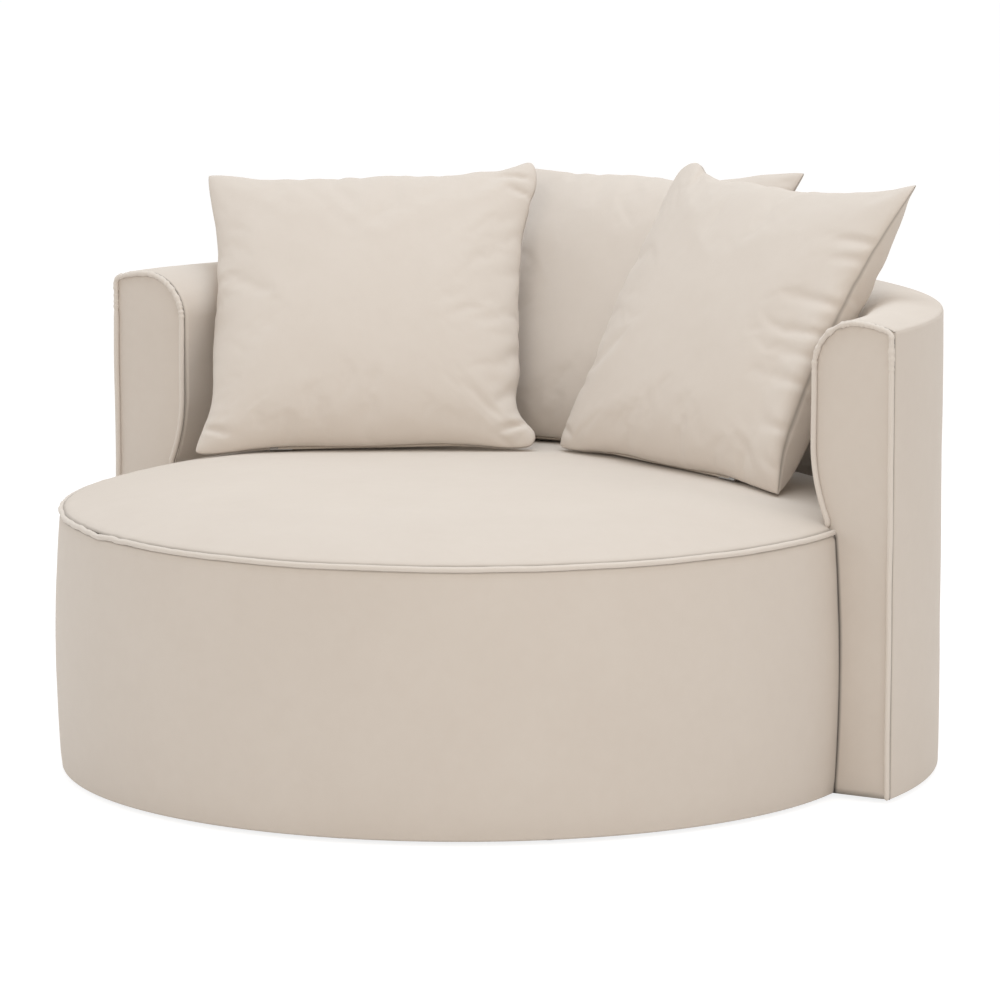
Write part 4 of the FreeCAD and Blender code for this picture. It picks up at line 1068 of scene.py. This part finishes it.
def fabric_material(name, colour, dark, seam=False):
    """Short, suede-like nap: fine bump, a soft mottle where the nap lies another way, sheen, and painted
    shade beside seams.
    """
    made, nodes, shader = material(name)
    place = node(nodes, "ShaderNodeTexCoord").outputs["Object"]
    patches = noise_node(nodes, place, 6.0, 3.0, 0.55)
    brushed = noise_node(nodes, place, 42.0, 3.0, 0.6)
    fibre = noise_node(nodes, place, 900.0, 2.0, 0.6)
    mottle = scaled(nodes, fibre, 0.25, -0.05)
    mottle = scaled(nodes, brushed, 0.35, mottle)
    mottle = scaled(nodes, patches, 0.5, mottle)
    nap = mixed(nodes, mottle, dark, colour)
    # Painted shade: beside seams the colour is mixed towards a much darker copy of the dark colour
    if seam:
        shade = node(nodes, "ShaderNodeAttribute", attribute_name="seam_shade")
        share = scaled(nodes, shade.outputs["Fac"], SEAM_SHADE_STRENGTH, 0.0)
        nap = mixed(nodes, share, nap, [c * SEAM_SHADE_DARKNESS for c in dark])
    matt = node(nodes, "ShaderNodeMapRange", {"Value": brushed, "To Min": 0.78, "To Max": 0.96})
    fine = bump(nodes, fibre, 0.25, 0.0004)
    look = {
        "Base Color": nap,
        "Roughness": matt.outputs["Result"],
        "Specular IOR Level": 0.25,
        "Sheen Weight": 0.25,
        "Sheen Roughness": 0.45,
        "Sheen Tint": (1.0, 0.95, 0.88),
        "Normal": bump(nodes, brushed, 0.2, 0.0012, fine),
    }
    set_inputs(shader, look)
    return made


def plain_material(name, colour, dark, roughness, scale, relief, metallic=0.0, stretch=(1, 1, 1)):
    """A surface of one stuff with a fine grain."""
    made, nodes, shader = material(name)
    place = node(nodes, "ShaderNodeTexCoord").outputs["Object"]
    mapping = node(nodes, "ShaderNodeMapping", {"Vector": place, "Scale": stretch})
    grain = noise_node(nodes, mapping.outputs["Vector"], scale, 4.0)
    look = {
        "Base Color": mixed(nodes, grain, dark, colour),
        "Roughness": roughness,
        "Metallic": metallic,
        "Normal": bump(nodes, grain, relief, 0.0008),
    }
    set_inputs(shader, look)
    return made


COVER_COLOUR = (0.668, 0.611, 0.556)
COVER_DARK = (0.597, 0.533, 0.475)
# Painted light: the piping is the cover's colour made a little lighter, for the light that the raised cord
# catches
PIPING_LIT_COLOUR = (0.683, 0.626, 0.572)

# The stuffs without nap: light and dark colour, roughness, scale of the grain and its relief, then
# how metallic they are and how the grain is stretched
PLAIN_STUFFS = {
    "upholstery_foam": ((0.8, 0.74, 0.55), (0.7, 0.62, 0.42), 0.95, 300, 0.6),
    "fibre_wadding": ((0.86, 0.86, 0.85), (0.74, 0.74, 0.73), 1.0, 90, 0.8),
    "cushion_fibre": ((0.88, 0.88, 0.87), (0.78, 0.78, 0.77), 1.0, 120, 0.5),
    "elastic_webbing": ((0.06, 0.06, 0.07), (0.02, 0.02, 0.025), 0.8, 700, 0.7),
    "dust_cloth": ((0.02, 0.02, 0.021), (0.01, 0.01, 0.011), 0.95, 900, 0.5),
    "plywood": ((0.6, 0.43, 0.25), (0.42, 0.28, 0.14), 0.7, 14, 0.25, 0.0, (1, 9, 9)),
    "glide_plastic": ((0.02, 0.02, 0.02), (0.012, 0.012, 0.012), 0.5, 500, 0.15),
    "zip_nylon": ((0.52, 0.46, 0.39), (0.36, 0.31, 0.26), 0.6, 1200, 0.8),
    "plated_steel": ((0.3, 0.28, 0.26), (0.22, 0.21, 0.2), 0.5, 260, 0.1, 1.0),
}


def make_materials():
    made = {name: plain_material(name, *values) for name, values in PLAIN_STUFFS.items()}
    made["cover_fabric"] = fabric_material("cover_fabric", COVER_COLOUR, COVER_DARK, seam=True)
    made["piping_fabric"] = fabric_material("piping_fabric", PIPING_LIT_COLOUR, COVER_COLOUR)
    return made


def dress(obj, chosen):
    obj.data.materials.clear()
    obj.data.materials.append(chosen)


# Camera, light and floor
LIT_POINT = (0, 0.1, 0.4)
FLOOR_REACH = 60.0


def camera():
    data = bpy.data.cameras.new("photo_camera")
    data.lens = 192.38
    data.sensor_width = 36
    data.clip_end = 200
    obj = link(bpy.data.objects.new("photo_camera", data))
    obj.location = (4.644014, -7.199525, 1.717)
    obj.rotation_euler = (math.radians(90 - 8.5298), 0, math.radians(32.4277))
    bpy.context.scene.camera = obj


def area_light(name, place, size, power, colour):
    data = bpy.data.lights.new(name, "AREA")
    data.color = colour
    data.shape = "DISK"
    data.size = size
    data.energy = power
    obj = link(bpy.data.objects.new(name, data))
    obj.location = place
    direction = Vector(LIT_POINT) - Vector(place)
    obj.rotation_euler = direction.to_track_quat("-Z", "Y").to_euler()


def lights():
    area_light("front_light", (2.6, -6.0, 3.0), 3.4, 100, (1.0, 0.925, 0.82))
    area_light("top_light", (0.4, 0.2, 4.6), 3.4, 92, (0.83, 0.92, 1.0))
    area_light("left_light", (-4.6, -1.4, 2.4), 3.0, 33, (0.83, 0.92, 1.0))
    area_light("right_light", (5.2, 0.7, 2.2), 2.4, 29, (1.0, 0.93, 0.86))
    area_light("back_light", (0.5, 4.0, 4.0), 3.0, 12, (1.0, 0.93, 0.83))


def show(nodes, usual, seen, output):
    """Shows seen to the camera, gloss and glass, and usual to every other ray."""
    path = node(nodes, "ShaderNodeLightPath")
    looked_at = path.outputs["Is Camera Ray"]
    for kind in ("Is Glossy Ray", "Is Transmission Ray"):
        inputs = {0: looked_at, 1: path.outputs[kind]}
        looked_at = node(nodes, "ShaderNodeMath", inputs, operation="MAXIMUM").outputs[0]
    inputs = {0: looked_at, 1: usual.outputs[0], 2: seen.outputs[0]}
    set_inputs(output, {"Surface": node(nodes, "ShaderNodeMixShader", inputs).outputs[0]})


def world():
    made = bpy.data.worlds.new("studio")
    made.use_nodes = True
    nodes = made.node_tree.nodes
    base = nodes["Background"]
    set_inputs(base, {"Color": (1.0, 0.95, 0.9), "Strength": 0.62})
    white = node(nodes, "ShaderNodeBackground", {"Color": (1, 1, 1), "Strength": 1.0})
    show(nodes, base, white, nodes["World Output"])
    bpy.context.scene.world = made


def floor():
    """A pale floor that glows just enough to look white, and keeps the chair's shadow."""
    corners = np.array([(-1, -1, 0), (1, -1, 0), (1, 1, 0), (-1, 1, 0)]) * FLOOR_REACH
    obj = new_object("studio_floor", corners, [(0, 1, 2, 3)])
    made, nodes, shader = material("studio_floor")
    look = {"Base Color": (0.82, 0.82, 0.82), "Roughness": 0.9, "Specular IOR Level": 0.1}
    set_inputs(shader, look)
    glow = node(nodes, "ShaderNodeEmission", {"Color": (1, 1, 1), "Strength": 1.29})
    inputs = {0: 0.65, 1: shader.outputs[0], 2: glow.outputs[0]}
    white = node(nodes, "ShaderNodeMixShader", inputs)
    show(nodes, shader, white, nodes["Material Output"])
    dress(obj, made)


def place_piece(obj, body, slot, *replaced):
    dress(obj, materials[slot])
    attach(obj, body)
    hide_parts(*replaced)


camera()
materials = make_materials()
for entry in frame["record"]["subparts"]:
    dress(frame["nodes"][entry["node"]], materials[entry["material_slot"]])

place_piece(seat_top(), "chair", "cover_fabric", "seat_cover_top")
place_piece(seat_band(), "chair", "cover_fabric", "seat_cover_band")
place_piece(seat_piping(), "chair", "piping_fabric", "seat_piping")
place_piece(wall_inner_cover(), "chair", "cover_fabric", "back_inner_cover")
place_piece(wall_outer_cover(), "chair", "cover_fabric", "back_outer_cover")
for side in (-1, 1):
    arm = side_name(side)
    place_piece(arm_facing(side), "chair", "cover_fabric", f"{arm}_arm_facing")
    place_piece(arm_piping(side), "chair", "piping_fabric", f"{arm}_arm_piping")
covers = []
for cushion_name in ("left_cushion", "right_cushion", "middle_cushion"):
    cover = cushion(cushion_name, covers)
    covers.append(cover)
    panels = (f"{cushion_name}_front_panel", f"{cushion_name}_back_panel")
    place_piece(cover, cushion_name, "cover_fabric", *panels)
    bag = cushion_fill(cushion_name)
    place_piece(bag, cushion_name, "cushion_fibre", f"{cushion_name}_fill")

lights()
world()
floor()
bpy.context.scene.view_settings.view_transform = "Standard"
